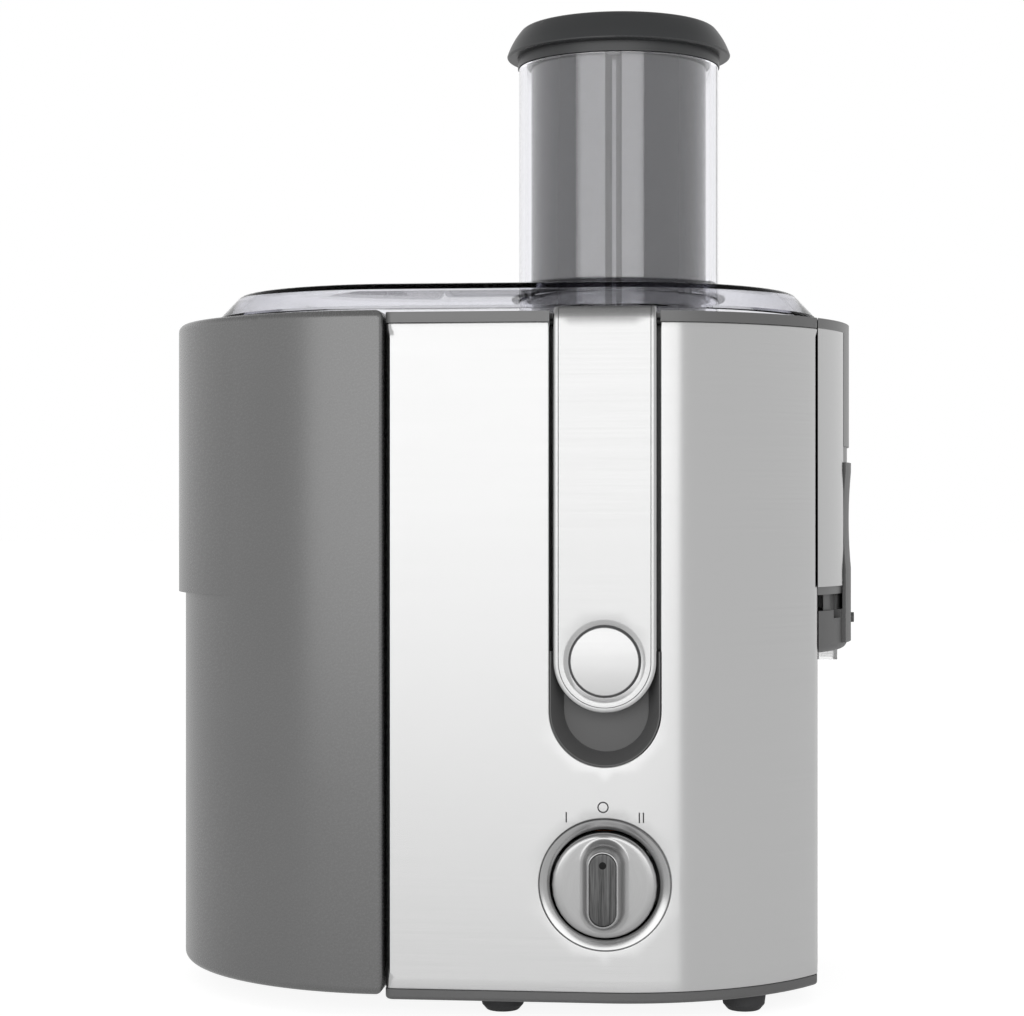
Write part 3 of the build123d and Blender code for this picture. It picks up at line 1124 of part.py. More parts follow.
# Juice bowl with its flange, pulp lip, neck, spout box and outlet duct
with BuildPart() as juice_bowl:
    prism(block_plan(WALL + SLIDE_GAP), FLANGE_Z0, FLANGE_Z1)
    block(-CHANNEL_HALF - CHANNEL_WALL - SLIDE_GAP, CHANNEL_HALF + CHANNEL_WALL + SLIDE_GAP, -BODY_R,
          CHANNEL_Y + CHANNEL_WALL + SLIDE_GAP, FLANGE_Z0 - 1.0, FLANGE_Z1 + 1.0, Mode.SUBTRACT)
    block(-CATCH_HALF - 2.5 - SLIDE_GAP, CATCH_HALF + 2.5 + SLIDE_GAP, -BODY_R,
          TONGUE_POCKET_Y + POCKET_WALL + SLIDE_GAP, FLANGE_Z0 - 1.0, FLANGE_Z1 + 1.0, Mode.SUBTRACT)
    post(0, 0, BOWL_R, BOWL_FLOOR_Z, FLANGE_Z1)
    block(-PULP_LIP_REACH, 0, -PULP_HALF, PULP_HALF, PULP_LIP_Z, FLANGE_Z1)
    block(BOWL_R - NECK_LAP, SPOUT_X0 + 1.0, -NOTCH_HALF + SLIDE_GAP, NOTCH_HALF - SLIDE_GAP,
          BOWL_FLOOR_Z, FLANGE_Z1)
    prism(spout_plan(BODY_R - CLAD_T, SPOUT_X0), SKIRT_Z, PANEL_Z1)
    prism(spout_plan(BODY_R, SPOUT_X0), PANEL_Z1, RIM_Z)
    prism(band_plan(BODY_R - CLAD_T - SKIRT_T / 2, BODY_R, 0, CLAD_SPLIT_ANGLE - TAB_SIDE_GAP),
          STOP_TAB_Z1 + STOP_TRAVEL + SLIDE_GAP, PANEL_Z1)
    prism(spout_plan(BODY_R - CLAD_T - SKIRT_T, SPOUT_X0 + NECK_T), SKIRT_Z - 1.0, FLANGE_Z0, Mode.SUBTRACT)
    block(SPOUT_X0, DUCT_X1, -DUCT_W / 2, DUCT_W / 2, DUCT_Z0, BOWL_FLOOR_Z + NECK_H)
    post(0, 0, BOWL_R - BOWL_T, BOWL_FLOOR_Z + BOWL_T, RIM_Z + 1.0, Mode.SUBTRACT)
    block(-PULP_LIP_REACH - 1.0, 0, -PULP_HALF + PULP_LIP_T, PULP_HALF - PULP_LIP_T,
          PULP_LIP_Z + PULP_LIP_T, RIM_Z + 1.0, Mode.SUBTRACT)
    post(0, 0, BOWL_HUB_R, BOWL_FLOOR_Z, BOWL_FLOOR_Z + BOWL_HUB_H)
    post(0, 0, DECK_COLLAR_R + 1.0, BOWL_FLOOR_Z - 1.0, BOWL_FLOOR_Z + BOWL_HUB_H + 1.0, Mode.SUBTRACT)
    block(BOWL_R - BOWL_T - 6.0, DUCT_X1 - DUCT_T, -DUCT_W / 2 + DUCT_T, DUCT_W / 2 - DUCT_T,
          BOWL_FLOOR_Z + BOWL_T, BOWL_FLOOR_Z + NECK_H - NECK_T, Mode.SUBTRACT)
    block(SPOUT_X0 + DUCT_T, DUCT_X1 - DUCT_T, -DUCT_W / 2 + DUCT_T, DUCT_W / 2 - DUCT_T,
          DUCT_Z0 - 1.0, BOWL_FLOOR_Z + NECK_H - NECK_T, Mode.SUBTRACT)
juice_bowl.part.label = "juice_bowl"
export_step(juice_bowl.part, "parts/juice_bowl.step")

# Lip seal on the bowl's hub
with BuildPart() as bowl_seal:
    seal_z = BOWL_FLOOR_Z + BOWL_HUB_H
    ring(DECK_COLLAR_R + 1.0, BOWL_HUB_R + 1.0, seal_z, seal_z + SEAL_H)
bowl_seal.part.label = "bowl_seal"
export_step(bowl_seal.part, "parts/bowl_seal.step")

# Steel cladding on both cheeks of the spout box
with BuildPart() as spout_cladding:
    prism(spout_plan(BODY_R, SPOUT_X0), CLAD_Z0, PANEL_Z1)
    prism(spout_plan(BODY_R - CLAD_T + CLAD_SEAT, SPOUT_X0 - 1.0), CLAD_Z0, PANEL_Z1, Mode.SUBTRACT)
    prism(sector_plan(BODY_R + 1.0, CLAD_SPLIT_ANGLE), CLAD_Z0, PANEL_Z1, Mode.SUBTRACT)
spout_cladding.part.label = "spout_cladding"
export_step(spout_cladding.part, "parts/spout_cladding.step")

# Drip stop: a box flush with the spout, a sleeve that slides up inside it and a scooped tab up the outside
STOP_R = BODY_R - CLAD_T - SKIRT_T - SLIDE_GAP
STOP_TOP = SKIRT_Z + 2.0
with BuildPart() as drip_stop:
    box_top = SKIRT_Z - STOP_TRAVEL - SLIDE_GAP
    box_left = SPOUT_X0 + SLIDE_GAP
    tab_r = BODY_R + STOP_TAB_OUT
    tab_angle = CLAD_SPLIT_ANGLE - TAB_SIDE_GAP
    prism(spout_plan(BODY_R - CLAD_T, box_left), STOP_Z0, box_top)
    fillet(drip_stop.edges().group_by(Axis.Z)[0].filter_by(GeomType.CIRCLE), STOP_CORNER_R)
    prism(band_plan(STOP_R, tab_r, 0, tab_angle), STOP_Z0 + STOP_CORNER_R, box_top)
    prism(band_plan(BODY_R - CLAD_T + SLIDE_GAP, tab_r, 0, tab_angle), box_top, STOP_TAB_Z1)
    prism(spout_plan(STOP_R - STOP_T, box_left + STOP_T), STOP_Z0 + STOP_T, box_top, Mode.SUBTRACT)
    with BuildSketch(front(0)) as scoop:
        with BuildLine():
            ThreePointArc((tab_r, SCOOP_Z0), (tab_r - SCOOP_DEPTH, (SCOOP_Z0 + SCOOP_Z1) / 2), (tab_r, SCOOP_Z1))
            Line((tab_r, SCOOP_Z1), (tab_r, SCOOP_Z0))
        make_face()
    revolve(axis=DRIVE_AXIS, mode=Mode.SUBTRACT)
    prism(spout_plan(STOP_R, SPOUT_X0 + NECK_T + SLIDE_GAP), box_top, STOP_TOP)
    prism(spout_plan(STOP_R - STOP_T, SPOUT_X0), box_top, STOP_TOP, Mode.SUBTRACT)
    slots = band_plan(STOP_R - SLOT_DEPTH, BODY_R, SLOT_ANGLE - SLOT_SPREAD, SLOT_ANGLE + SLOT_SPREAD)
    prism(slots, SLOT_Z0, STOP_TOP, Mode.SUBTRACT)
    block(SPOUT_X0 - 1.0, DUCT_X1 + SLIDE_GAP, -DUCT_W / 2 - SLIDE_GAP, DUCT_W / 2 + SLIDE_GAP,
          STOP_Z0 - 1.0, STOP_TOP + 1.0, Mode.SUBTRACT)
    rod_x(0, STUD_Z, STUD_R, STOP_R, tab_r + STUD_OUT)
drip_stop.part.label = "drip_stop"
export_step(drip_stop.part, "parts/drip_stop.step")

# Clear outlet at the bottom of the duct
with BuildPart() as spout_outlet:
    block(SPOUT_X0, DUCT_X1, -DUCT_W / 2, DUCT_W / 2, OUTLET_Z0, DUCT_Z0)
    block(SPOUT_X0 + DUCT_T, DUCT_X1 - DUCT_T, -DUCT_W / 2 + DUCT_T, DUCT_W / 2 - DUCT_T,
          OUTLET_Z0 - 1.0, DUCT_Z0 + 1.0, Mode.SUBTRACT)
spout_outlet.part.label = "spout_outlet"
export_step(spout_outlet.part, "parts/spout_outlet.step")

# Clear lid with a low crown, the bowl skirt and the tongue for the latch
with BuildPart() as lid:
    prism(lid_plan(0), LID_Z0, LID_Z0 + LID_FLANGE_H)
    with BuildSketch(level(LID_Z0 + LID_FLANGE_H)) as low:
        add(lid_plan(0))
    with BuildSketch(level(LID_Z1)) as high:
        add(lid_plan(LID_SLOPE))
    loft(sections=[low.sketch, high.sketch])
    with BuildSketch(level(LID_TOP)) as crown:
        add(lid_plan(LID_SLOPE + LID_CROWN_RUN))
    loft(sections=[high.sketch, crown.sketch])
    fillet(lid.edges().filter_by_position(Axis.Z, LID_Z1 - 0.01, LID_Z1 + 0.01), LID_EDGE_R)
    with BuildSketch(level(LID_Z0 - 0.01)) as low_in:
        add(lid_plan(LID_T))
    with BuildSketch(level(LID_Z1 - LID_T)) as high_in:
        add(lid_plan(LID_T + LID_SLOPE))
    loft(sections=[low_in.sketch, high_in.sketch], mode=Mode.SUBTRACT)
    with BuildSketch(level(LID_TOP - LID_T)) as crown_in:
        add(lid_plan(LID_T + LID_SLOPE + LID_CROWN_RUN))
    loft(sections=[high_in.sketch, crown_in.sketch], mode=Mode.SUBTRACT)
    ring(LID_SKIRT_R - LID_SKIRT_T, LID_SKIRT_R, LID_Z0 - LID_SKIRT_DROP, LID_Z1 - LID_T)
    lane = PULP_HALF - LID_LANE_INSET
    block(-LID_R, -LID_SKIRT_R / 2, -lane, lane, LID_Z0 - LID_SKIRT_DROP - 1.0, LID_Z1 - LID_T, Mode.SUBTRACT)
    post(0, 0, TUBE_R + SEAT_GAP, LID_Z0, LID_TOP + 1.0, Mode.SUBTRACT)
    block(-CATCH_HALF, CATCH_HALF, TONGUE_FRONT_Y, TONGUE_BACK_Y, TOOTH_Z0, LID_Z0 + LID_FLANGE_H)
    block(-CATCH_HALF, CATCH_HALF, TOOTH_FRONT_Y, TONGUE_FRONT_Y, TOOTH_Z0, TOOTH_Z0 + TOOTH_H)
    rod_x(LATCH_HINGE_Y, LATCH_HINGE_Z, CATCH_R + SLIDE_GAP, -CATCH_HALF - 1.0, CATCH_HALF + 1.0, Mode.SUBTRACT)
lid.part.label = "lid"
export_step(lid.part, "parts/lid.step")

# Clear feed tube, welded to the lid by its flared foot, with the rib that guides the pusher
with BuildPart() as feed_tube:
    foot_z = LID_TOP + TUBE_FOOT_T
    bend = TUBE_FLARE_R * (1 - math.sqrt(0.5))
    with BuildSketch(front(0)) as face:
        with BuildLine():
            Polyline(
                (TUBE_R, foot_z + TUBE_FLARE_R),
                (TUBE_R, TUBE_Z1),
                (TUBE_BORE_R, TUBE_Z1),
                (TUBE_BORE_R, TUBE_Z0),
                (TUBE_R, TUBE_Z0),
                (TUBE_R, LID_TOP),
                (TUBE_R + TUBE_FLARE_R, LID_TOP),
                (TUBE_R + TUBE_FLARE_R, foot_z),
            )
            ThreePointArc(
                (TUBE_R + TUBE_FLARE_R, foot_z),
                (TUBE_R + bend, foot_z + bend),
                (TUBE_R, foot_z + TUBE_FLARE_R),
            )
        make_face()
    revolve(axis=DRIVE_AXIS)
    block(-RIB_W / 2, RIB_W / 2, -TUBE_BORE_R - 1.0, -TUBE_BORE_R + RIB_H, TUBE_Z0, TUBE_Z1 - RIB_DROP)
feed_tube.part.label = "feed_tube"
export_step(feed_tube.part, "parts/feed_tube.step")

# Pusher: hollow body with a groove for the tube's rib, and a domed cap
with BuildPart() as pusher_body:
    post(0, 0, PUSHER_R, PUSHER_Z0, CAP_Z0)
    post(0, 0, PUSHER_R - PUSHER_T, PUSHER_Z0 + PUSHER_T, CAP_Z0 + 1.0, Mode.SUBTRACT)
    backing = RIB_SLOT_HALF + RIB_BACK_T
    block(-backing, backing, -PUSHER_R + 0.2, -PUSHER_R + RIB_H + 3.0, PUSHER_Z0, CAP_Z0)
    block(-RIB_SLOT_HALF, RIB_SLOT_HALF, -PUSHER_R - 1.0, -TUBE_BORE_R + RIB_H + RIB_SLOT_GAP,
          PUSHER_Z0 - 1.0, CAP_Z0 + 1.0, Mode.SUBTRACT)
pusher_body.part.label = "pusher_body"
export_step(pusher_body.part, "parts/pusher_body.step")

with BuildPart() as pusher_cap:
    rim_z = CAP_Z0 + PUSHER_COLLAR_H
    plug_r = PUSHER_R - PUSHER_T - SEAT_GAP
    bead = CAP_BEAD_R * (1 - math.sqrt(0.5))
    shoulder_r = CAP_R - CAP_FLANK_IN
    shoulder_z = CAP_Z1 - CAP_DOME_H
    flank_z = rim_z + CAP_BEAD_R
    with BuildSketch(front(0)) as face:
        with BuildLine():
            Polyline(
                (0, CAP_Z0),
                (PUSHER_COLLAR_R, CAP_Z0),
                (PUSHER_COLLAR_R, rim_z),
                (CAP_R - CAP_BEAD_R, rim_z),
            )
            ThreePointArc((CAP_R - CAP_BEAD_R, rim_z), (CAP_R - bead, rim_z + bead), (CAP_R, flank_z))
            ThreePointArc(
                (CAP_R, flank_z),
                ((CAP_R + shoulder_r) / 2 + CAP_FLANK_BULGE, (flank_z + shoulder_z) / 2 + CAP_FLANK_BULGE),
                (shoulder_r, shoulder_z),
            )
            ThreePointArc((shoulder_r, shoulder_z), (shoulder_r / 2, CAP_Z1 - CAP_DOME_H / 4), (0, CAP_Z1))
            Line((0, CAP_Z1), (0, CAP_Z0))
        make_face()
    revolve(axis=DRIVE_AXIS)
    shoulder = pusher_cap.edges().filter_by(lambda e: abs(e.bounding_box().max.Z - shoulder_z) < 0.01)
    fillet(shoulder, CAP_SHOULDER_R)
    ring(plug_r - CAP_T, plug_r, CAP_Z0 - CAP_PLUG, CAP_Z0 + 1.0)
    backing = RIB_SLOT_HALF + RIB_BACK_T + SEAT_GAP
    block(-backing, backing, -PUSHER_R - 1.0, -PUSHER_R + RIB_H + 4.0, CAP_Z0 - CAP_PLUG - 1.0, CAP_Z0,
          Mode.SUBTRACT)
    turned([(0, CAP_Z0 - 1.0), (plug_r - CAP_T, CAP_Z0 - 1.0), (plug_r - CAP_T, rim_z + 2.0),
            (plug_r - 12.0, rim_z + 6.5), (0, rim_z + 9.0)], Mode.SUBTRACT)
pusher_cap.part.label = "pusher_cap"
export_step(pusher_cap.part, "parts/pusher_cap.step")

# Pulp container, which slides to the left along the tray's tongue
with BuildPart() as pulp_container:
    prism(bucket_plan(0), BUCKET_Z0, BUCKET_Z1)
    upright = pulp_container.edges().filter_by(Axis.Z)
    fillet(upright, BUCKET_CORNER_R)
    prism(grip_plan(0), GRIP_Z0, BUCKET_Z1)
    fillet(pulp_container.edges().group_by(Axis.Z)[-1], BUCKET_EDGE_R)
    fillet(pulp_container.edges().group_by(Axis.Z)[0], BUCKET_EDGE_R)
    prism(bucket_plan(BUCKET_T), BUCKET_Z0 + BUCKET_T, BUCKET_Z1 - BUCKET_T, Mode.SUBTRACT)
    prism(bucket_plan(BUCKET_LEDGE), BUCKET_Z1 - BUCKET_T - 1.0, BUCKET_Z1 + 1.0, Mode.SUBTRACT)
    lane_z = FOOT_H + TONGUE_H + SLIDE_GAP
    block(-TONGUE_REACH - 3.0, BUCKET_X1 - 0.5, -TONGUE_HALF - 2.6, TONGUE_HALF + 2.6, BUCKET_Z0 + 1.0,
          lane_z + BUCKET_T)
    block(-TONGUE_REACH - SLIDE_GAP, BUCKET_X1 + 1.0, -TONGUE_HALF - SLIDE_GAP, TONGUE_HALF + SLIDE_GAP,
          BUCKET_Z0 - 1.0, lane_z, Mode.SUBTRACT)
    block(-PULP_LIP_REACH - SPLIT_GAP, BUCKET_X1 + 1.0, -PULP_HALF - 1.5, PULP_HALF + 1.5, PULP_LIP_Z - SPLIT_GAP,
          BUCKET_Z1 + 1.0, Mode.SUBTRACT)
pulp_container.part.label = "pulp_container"
export_step(pulp_container.part, "parts/pulp_container.step")
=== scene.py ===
"""Looks of a centrifugal juicer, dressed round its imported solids.

Sizes are in millimetres from the drive axis, as on a maker's drawing: x to the
right, y to the back and z up from the worktop. Layout turns them into the frame.
"""

import logging
import math
from dataclasses import dataclass, field
from enum import Enum
from typing import Callable, ClassVar, Sequence

import bmesh
import bpy
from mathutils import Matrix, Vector
from mathutils.geometry import delaunay_2d_cdt


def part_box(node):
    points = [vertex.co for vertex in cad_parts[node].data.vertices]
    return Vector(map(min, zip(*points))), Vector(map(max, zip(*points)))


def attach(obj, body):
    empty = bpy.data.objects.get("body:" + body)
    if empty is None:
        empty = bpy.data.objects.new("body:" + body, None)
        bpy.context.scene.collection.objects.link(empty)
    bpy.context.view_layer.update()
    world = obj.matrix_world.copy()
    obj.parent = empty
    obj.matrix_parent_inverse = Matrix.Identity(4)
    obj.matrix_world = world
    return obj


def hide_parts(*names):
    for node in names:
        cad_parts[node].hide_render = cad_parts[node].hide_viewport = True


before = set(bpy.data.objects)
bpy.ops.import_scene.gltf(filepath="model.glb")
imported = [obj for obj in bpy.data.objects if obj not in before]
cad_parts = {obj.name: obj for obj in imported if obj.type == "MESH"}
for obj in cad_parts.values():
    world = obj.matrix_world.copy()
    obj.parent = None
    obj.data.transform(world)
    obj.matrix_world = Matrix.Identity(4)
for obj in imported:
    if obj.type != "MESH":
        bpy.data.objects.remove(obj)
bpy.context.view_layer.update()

MM = 0.001
LOG = logging.getLogger("juicer")
Flat = tuple[float, float]
Spot = tuple[float, float, float]
Colour = tuple[float, float, float, float]
Place = Callable[[float, float, float], Sequence[float]]
Tree = bpy.types.NodeTree
Node = bpy.types.Node
Socket = bpy.types.NodeSocket
Sockets = bpy.types.NodeOutputs
Material = bpy.types.Material
Piece = bpy.types.Object
# Points in a full circle, and steps in the rounding of an edge
CIRCLE = 96
EDGE_STEPS = 4


def linear(code: str) -> Colour:
    """Turns an sRGB hex value into the linear colour that shaders take.

    Args:
        code: Colour such as "#A0A0A0".
    Returns:
        Red, green, blue and alpha.
    """
    parts = [int(code[i:i + 2], 16) / 255 for i in (1, 3, 5)]
    curve = [c / 12.92 if c <= 0.04045 else ((c + 0.055) / 1.055) ** 2.4 for c in parts]
    return (curve[0], curve[1], curve[2], 1.0)


def add_node(tree: Tree, kind: str, inputs: dict | None = None, **settings) -> Node:
    """Adds one node to a tree.

    Args:
        tree: Shader or geometry tree.
        kind: Blender's name for the node's type.
        inputs: Socket name or number to a plain value or to another node's output.
        settings: Properties of the node itself.
    Returns:
        The new node.
    """
    node = tree.nodes.new(kind)
    for key, value in settings.items():
        setattr(node, key, value)
    for key, value in (inputs or {}).items():
        if isinstance(value, Socket):
            tree.links.new(value, node.inputs[key])
        else:
            node.inputs[key].default_value = value
    return node


def reckon(tree: Tree, operation: str, *values: object) -> Socket:
    """One step of arithmetic in a tree."""
    return add_node(tree, "ShaderNodeMath", dict(enumerate(values)), operation=operation).outputs[0]


def object_place(tree: Tree) -> Socket:
    """Place on the object, in metres."""
    return add_node(tree, "ShaderNodeTexCoord").outputs["Object"]


def blotches(tree: Tree, size_mm: float, detail: float) -> Socket:
    """Soft noise from 0 to 1, in blotches of about a size."""
    inputs = {"Vector": object_place(tree), "Scale": 1 / (size_mm * MM), "Detail": detail}
    return add_node(tree, "ShaderNodeTexNoise", inputs).outputs["Fac"]


def spread(tree: Tree, value: Socket, middle: float, swing: float) -> Socket:
    """A value from 0 to 1, drawn out to a swing on either side of a middle."""
    inputs = {"Value": value, "To Min": middle - swing, "To Max": middle + swing}
    return add_node(tree, "ShaderNodeMapRange", inputs).outputs["Result"]


def blend(tree: Tree, share: Socket, one: Colour, other: Colour) -> Socket:
    """A colour between two, by a share."""
    inputs = {"Factor": share, "A": one, "B": other}
    return add_node(tree, "ShaderNodeMix", inputs, data_type="RGBA").outputs["Result"]


def shaded(tree: Tree, pattern: Socket, code: str, swing: float) -> Socket:
    """A colour that goes from darker to lighter with a pattern.

    Args:
        tree: The material's tree.
        pattern: Value from 0 to 1.
        code: Hex value of the colour in the middle.
        swing: Share by which it darkens and lightens.
    Returns:
        The colour's socket.
    """
    base = linear(code)[:3]
    dark, light = ((*(min(1.0, c * (1 + way * swing)) for c in base), 1.0) for way in (-1, 1))
    return blend(tree, pattern, dark, light)


def put(name: str, data: bpy.types.ID) -> Piece:
    """Puts a mesh, lamp or camera in the scene as an object."""
    piece = bpy.data.objects.new(name, data)
    bpy.context.scene.collection.objects.link(piece)
    return piece


@dataclass(frozen=True)
class Layout:
    """Where the drive axis stands in the frame, and the sizes that several pieces share."""

    axis_x: float
    axis_y: float

    @staticmethod
    def from_frame() -> "Layout":
        """Reads the drive axis from the round cap that is centred on it."""
        low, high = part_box("pusher_cap")
        return Layout((low.x + high.x) / 2, (low.y + high.y) / 2)

    def place(self, x: float, y: float, z: float) -> Vector:
        """Point in the frame, in metres, for a point in millimetres from the drive axis."""
        return Vector((self.axis_x + x * MM, self.axis_y + y * MM, z * MM))

    def span(self, node: str) -> tuple[Vector, Vector]:
        """Lowest and highest corner of a node, in millimetres from the drive axis."""
        shift = Vector((self.axis_x, self.axis_y, 0))
        low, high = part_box(node)
        return (low - shift) / MM, (high - shift) / MM


LAYOUT = Layout.from_frame()


class Brush(Enum):
    """Way that a metal surface was brushed."""

    LEVEL = "level"
    UPRIGHT = "upright"
    ROUND = "round"


def new_material(name: str) -> tuple[Material, Tree, Node]:
    """Makes an empty node material.

    Args:
        name: Name of the real material and its surface.
    Returns:
        The material, its tree and its output node.
    """
    material = bpy.data.materials.new(name)
    material.use_nodes = True
    tree = material.node_tree
    tree.nodes.clear()
    return material, tree, add_node(tree, "ShaderNodeOutputMaterial")


class Finish:
    """A surface finish, whose material is made once and shared."""

    made: dict[str, Material] = {}
    name: str

    def material(self) -> Material:
        """The finish's material."""
        if self.name not in Finish.made:
            Finish.made[self.name], tree, out = new_material(self.name)
            tree.links.new(self.surface(tree), out.inputs["Surface"])
            depth = self.depth(tree)
            if depth is not None:
                tree.links.new(depth, out.inputs["Volume"])
        return Finish.made[self.name]

    def surface(self, tree: Tree) -> Socket:
        """Builds the surface's nodes."""
        raise NotImplementedError

    def depth(self, tree: Tree) -> Socket | None:
        """Builds the nodes of what lies under the surface, if light gets there."""
        return None


@dataclass(frozen=True)
class Moulded(Finish):
    """Moulded plastic or rubber: an even colour with faint clouds, and a fine spark-eroded grain."""

    name: str
    colour: str
    roughness: float
    grain_mm: float = 0.7
    grain_lift_mm: float = 0.02
    cloud_mm: float = 35.0
    cloud: float = 0.05
    rough_swing: float = 0.04
    specular: float = 0.5

    def surface(self, tree: Tree) -> Socket:
        """Builds the surface's nodes."""
        clouds = blotches(tree, self.cloud_mm, 3.0)
        grain = blotches(tree, self.grain_mm, 2.0)
        bump = add_node(tree, "ShaderNodeBump", {"Height": grain, "Strength": 0.4,
                                                 "Distance": self.grain_lift_mm * MM})
        shader = add_node(tree, "ShaderNodeBsdfPrincipled", {
            "Base Color": shaded(tree, clouds, self.colour, self.cloud),
            "Roughness": spread(tree, grain, self.roughness, self.rough_swing),
            "Normal": bump.outputs["Normal"], "Specular IOR Level": self.specular})
        return shader.outputs["BSDF"]


@dataclass(frozen=True)
class Brushed(Finish):
    """Brushed metal: fine streaks along the brush, and gloss that spreads across them."""

    name: str
    colour: str
    roughness: float
    brush: Brush = Brush.LEVEL
    anisotropy: float = 0.0
    streak_long_mm: float = 70.0
    streak_wide_mm: float = 0.45
    contrast: float = 0.06
    rough_swing: float = 0.02
    centre: Spot = (0.0, 0.0, 0.0)
    # Gloss spreads upright on the level brush, a hair off so that it holds on level faces too
    ACROSS: ClassVar[Spot] = (0.0, 0.02, 1.0)
    # The middle part of the noise is drawn out to clear streaks
    NOISE_FROM: ClassVar[float] = 0.3
    NOISE_TO: ClassVar[float] = 0.7

    def stretch(self) -> Spot:
        """Cycles of the streak pattern for each metre along x, y and z."""
        along = 1 / (self.streak_long_mm * MM)
        across = 1 / (self.streak_wide_mm * MM)
        return (across, across, along) if self.brush is Brush.UPRIGHT else (along, along, across)

    def rings(self, tree: Tree, place: Socket) -> Socket:
        """Streaks that run round the centre: how many streaks away a place is, and its turn."""
        away = -LAYOUT.place(*self.centre)
        moved = add_node(tree, "ShaderNodeMapping", {"Vector": place, "Location": away}).outputs["Vector"]
        parts = add_node(tree, "ShaderNodeSeparateXYZ", {"Vector": moved}).outputs
        level = add_node(tree, "ShaderNodeCombineXYZ", {"X": parts["X"], "Y": parts["Z"]}).outputs["Vector"]
        radius = add_node(tree, "ShaderNodeVectorMath", {0: level}, operation="LENGTH").outputs["Value"]
        count = reckon(tree, "MULTIPLY", radius, 1 / (self.streak_wide_mm * MM))
        turn = reckon(tree, "ARCTAN2", parts["X"], parts["Z"])
        return add_node(tree, "ShaderNodeCombineXYZ", {"X": count, "Y": turn}).outputs["Vector"]

    def streaks(self, tree: Tree) -> Socket:
        """Streak pattern from 0 to 1.

        Args:
            tree: The material's tree.
        Returns:
            The pattern's socket.
        """
        place = object_place(tree)
        if self.brush is Brush.ROUND:
            source = self.rings(tree, place)
        else:
            drawn = add_node(tree, "ShaderNodeMapping", {"Vector": place, "Scale": self.stretch()})
            source = drawn.outputs["Vector"]
        noise = add_node(tree, "ShaderNodeTexNoise", {"Vector": source, "Scale": 1.0, "Detail": 3.0,
                                                      "Roughness": 0.6})
        clear = add_node(tree, "ShaderNodeMapRange", {"Value": noise.outputs["Fac"],
                                                      "From Min": self.NOISE_FROM, "From Max": self.NOISE_TO})
        return clear.outputs["Result"]

    def surface(self, tree: Tree) -> Socket:
        """Builds the surface's nodes."""
        pattern = self.streaks(tree)
        shader = add_node(tree, "ShaderNodeBsdfPrincipled", {
            "Base Color": shaded(tree, pattern, self.colour, self.contrast),
            "Roughness": spread(tree, pattern, self.roughness, self.rough_swing),
            "Metallic": 1.0, "Anisotropic": self.anisotropy})
        if self.anisotropy:
            upright = add_node(tree, "ShaderNodeVectorTransform", {"Vector": self.ACROSS},
                               vector_type="VECTOR", convert_from="OBJECT", convert_to="WORLD")
            tree.links.new(upright.outputs["Vector"], shader.inputs["Tangent"])
        return shader.outputs["BSDF"]


@dataclass(frozen=True)
class Clear(Finish):
    """Clear moulded plastic that lets lamps through and darkens with its depth."""

    name: str
    tint: str
    ior: float
    absorbed: str
    density: float
    roughness: float = 0.02
    flow_mm: float = 30.0
    shadow: str = "#EDECF2"

    def surface(self, tree: Tree) -> Socket:
        """Builds the surface's nodes."""
        flow = blotches(tree, self.flow_mm, 1.0)
        glass = add_node(tree, "ShaderNodeBsdfPrincipled", {
            "Base Color": linear(self.tint), "IOR": self.ior, "Transmission Weight": 1.0,
            "Roughness": spread(tree, flow, self.roughness, self.roughness / 2)})
        through = add_node(tree, "ShaderNodeBsdfTransparent", {"Color": linear(self.shadow)})
        path = add_node(tree, "ShaderNodeLightPath").outputs
        both = add_node(tree, "ShaderNodeMixShader", {"Fac": path["Is Shadow Ray"], 1: glass.outputs["BSDF"],
                                                      2: through.outputs["BSDF"]})
        return both.outputs["Shader"]

    def depth(self, tree: Tree) -> Socket:
        """Builds the nodes that darken light on its way through."""
        inputs = {"Color": linear(self.absorbed), "Density": self.density}
        return add_node(tree, "ShaderNodeVolumeAbsorption", inputs).outputs["Volume"]


@dataclass(frozen=True)
class Layered(Finish):
    """Metal that shows fine layers or turns: stacked sheets, or wound wire under enamel."""

    name: str
    colour: str
    gap_colour: str
    pitch_mm: float
    roughness: float

    def surface(self, tree: Tree) -> Socket:
        """Builds the surface's nodes."""
        pitch = self.pitch_mm * MM
        waves = add_node(tree, "ShaderNodeTexWave", {
            "Vector": object_place(tree), "Scale": 1 / (pitch * 2 * math.pi), "Distortion": 0.6,
            "Detail": 1.0}, bands_direction="Z").outputs["Fac"]
        tint = blend(tree, waves, linear(self.gap_colour), linear(self.colour))
        bump = add_node(tree, "ShaderNodeBump", {"Height": waves, "Strength": 0.5, "Distance": pitch * 0.3})
        shader = add_node(tree, "ShaderNodeBsdfPrincipled", {
            "Base Color": tint, "Roughness": self.roughness, "Metallic": 1.0,
            "Normal": bump.outputs["Normal"]})
        return shader.outputs["BSDF"]


DIAL_CENTRE = (0.0, 0.0, 51.0)

# Stainless sheet, belt-brushed level: pale, with gloss drawn out upright and sharp sideways
PANEL_STEEL = Brushed("stainless_steel_level_brushed", "#BEBEBE", 0.25, Brush.LEVEL, 1.0, contrast=0.025)
# The same sheet on the latch and the spout, brushed after pressing
LATCH_STEEL = Brushed("stainless_steel_pressed_brushed", "#BABABA", 0.25, Brush.LEVEL, 1.0, contrast=0.012)
# Satin plated zinc alloy: an even soft gleam on the knob
KNOB_ALLOY = Brushed("zinc_alloy_satin_plated", "#A6A6A6", 0.30, Brush.ROUND, contrast=0.03,
                     centre=DIAL_CENTRE)
# Spun aluminium: fine rings and a clear gleam round the dial
RING_ALUMINIUM = Brushed("aluminium_spun_ring", "#A8A8A8", 0.20, Brush.ROUND, contrast=0.03,
                         centre=DIAL_CENTRE)
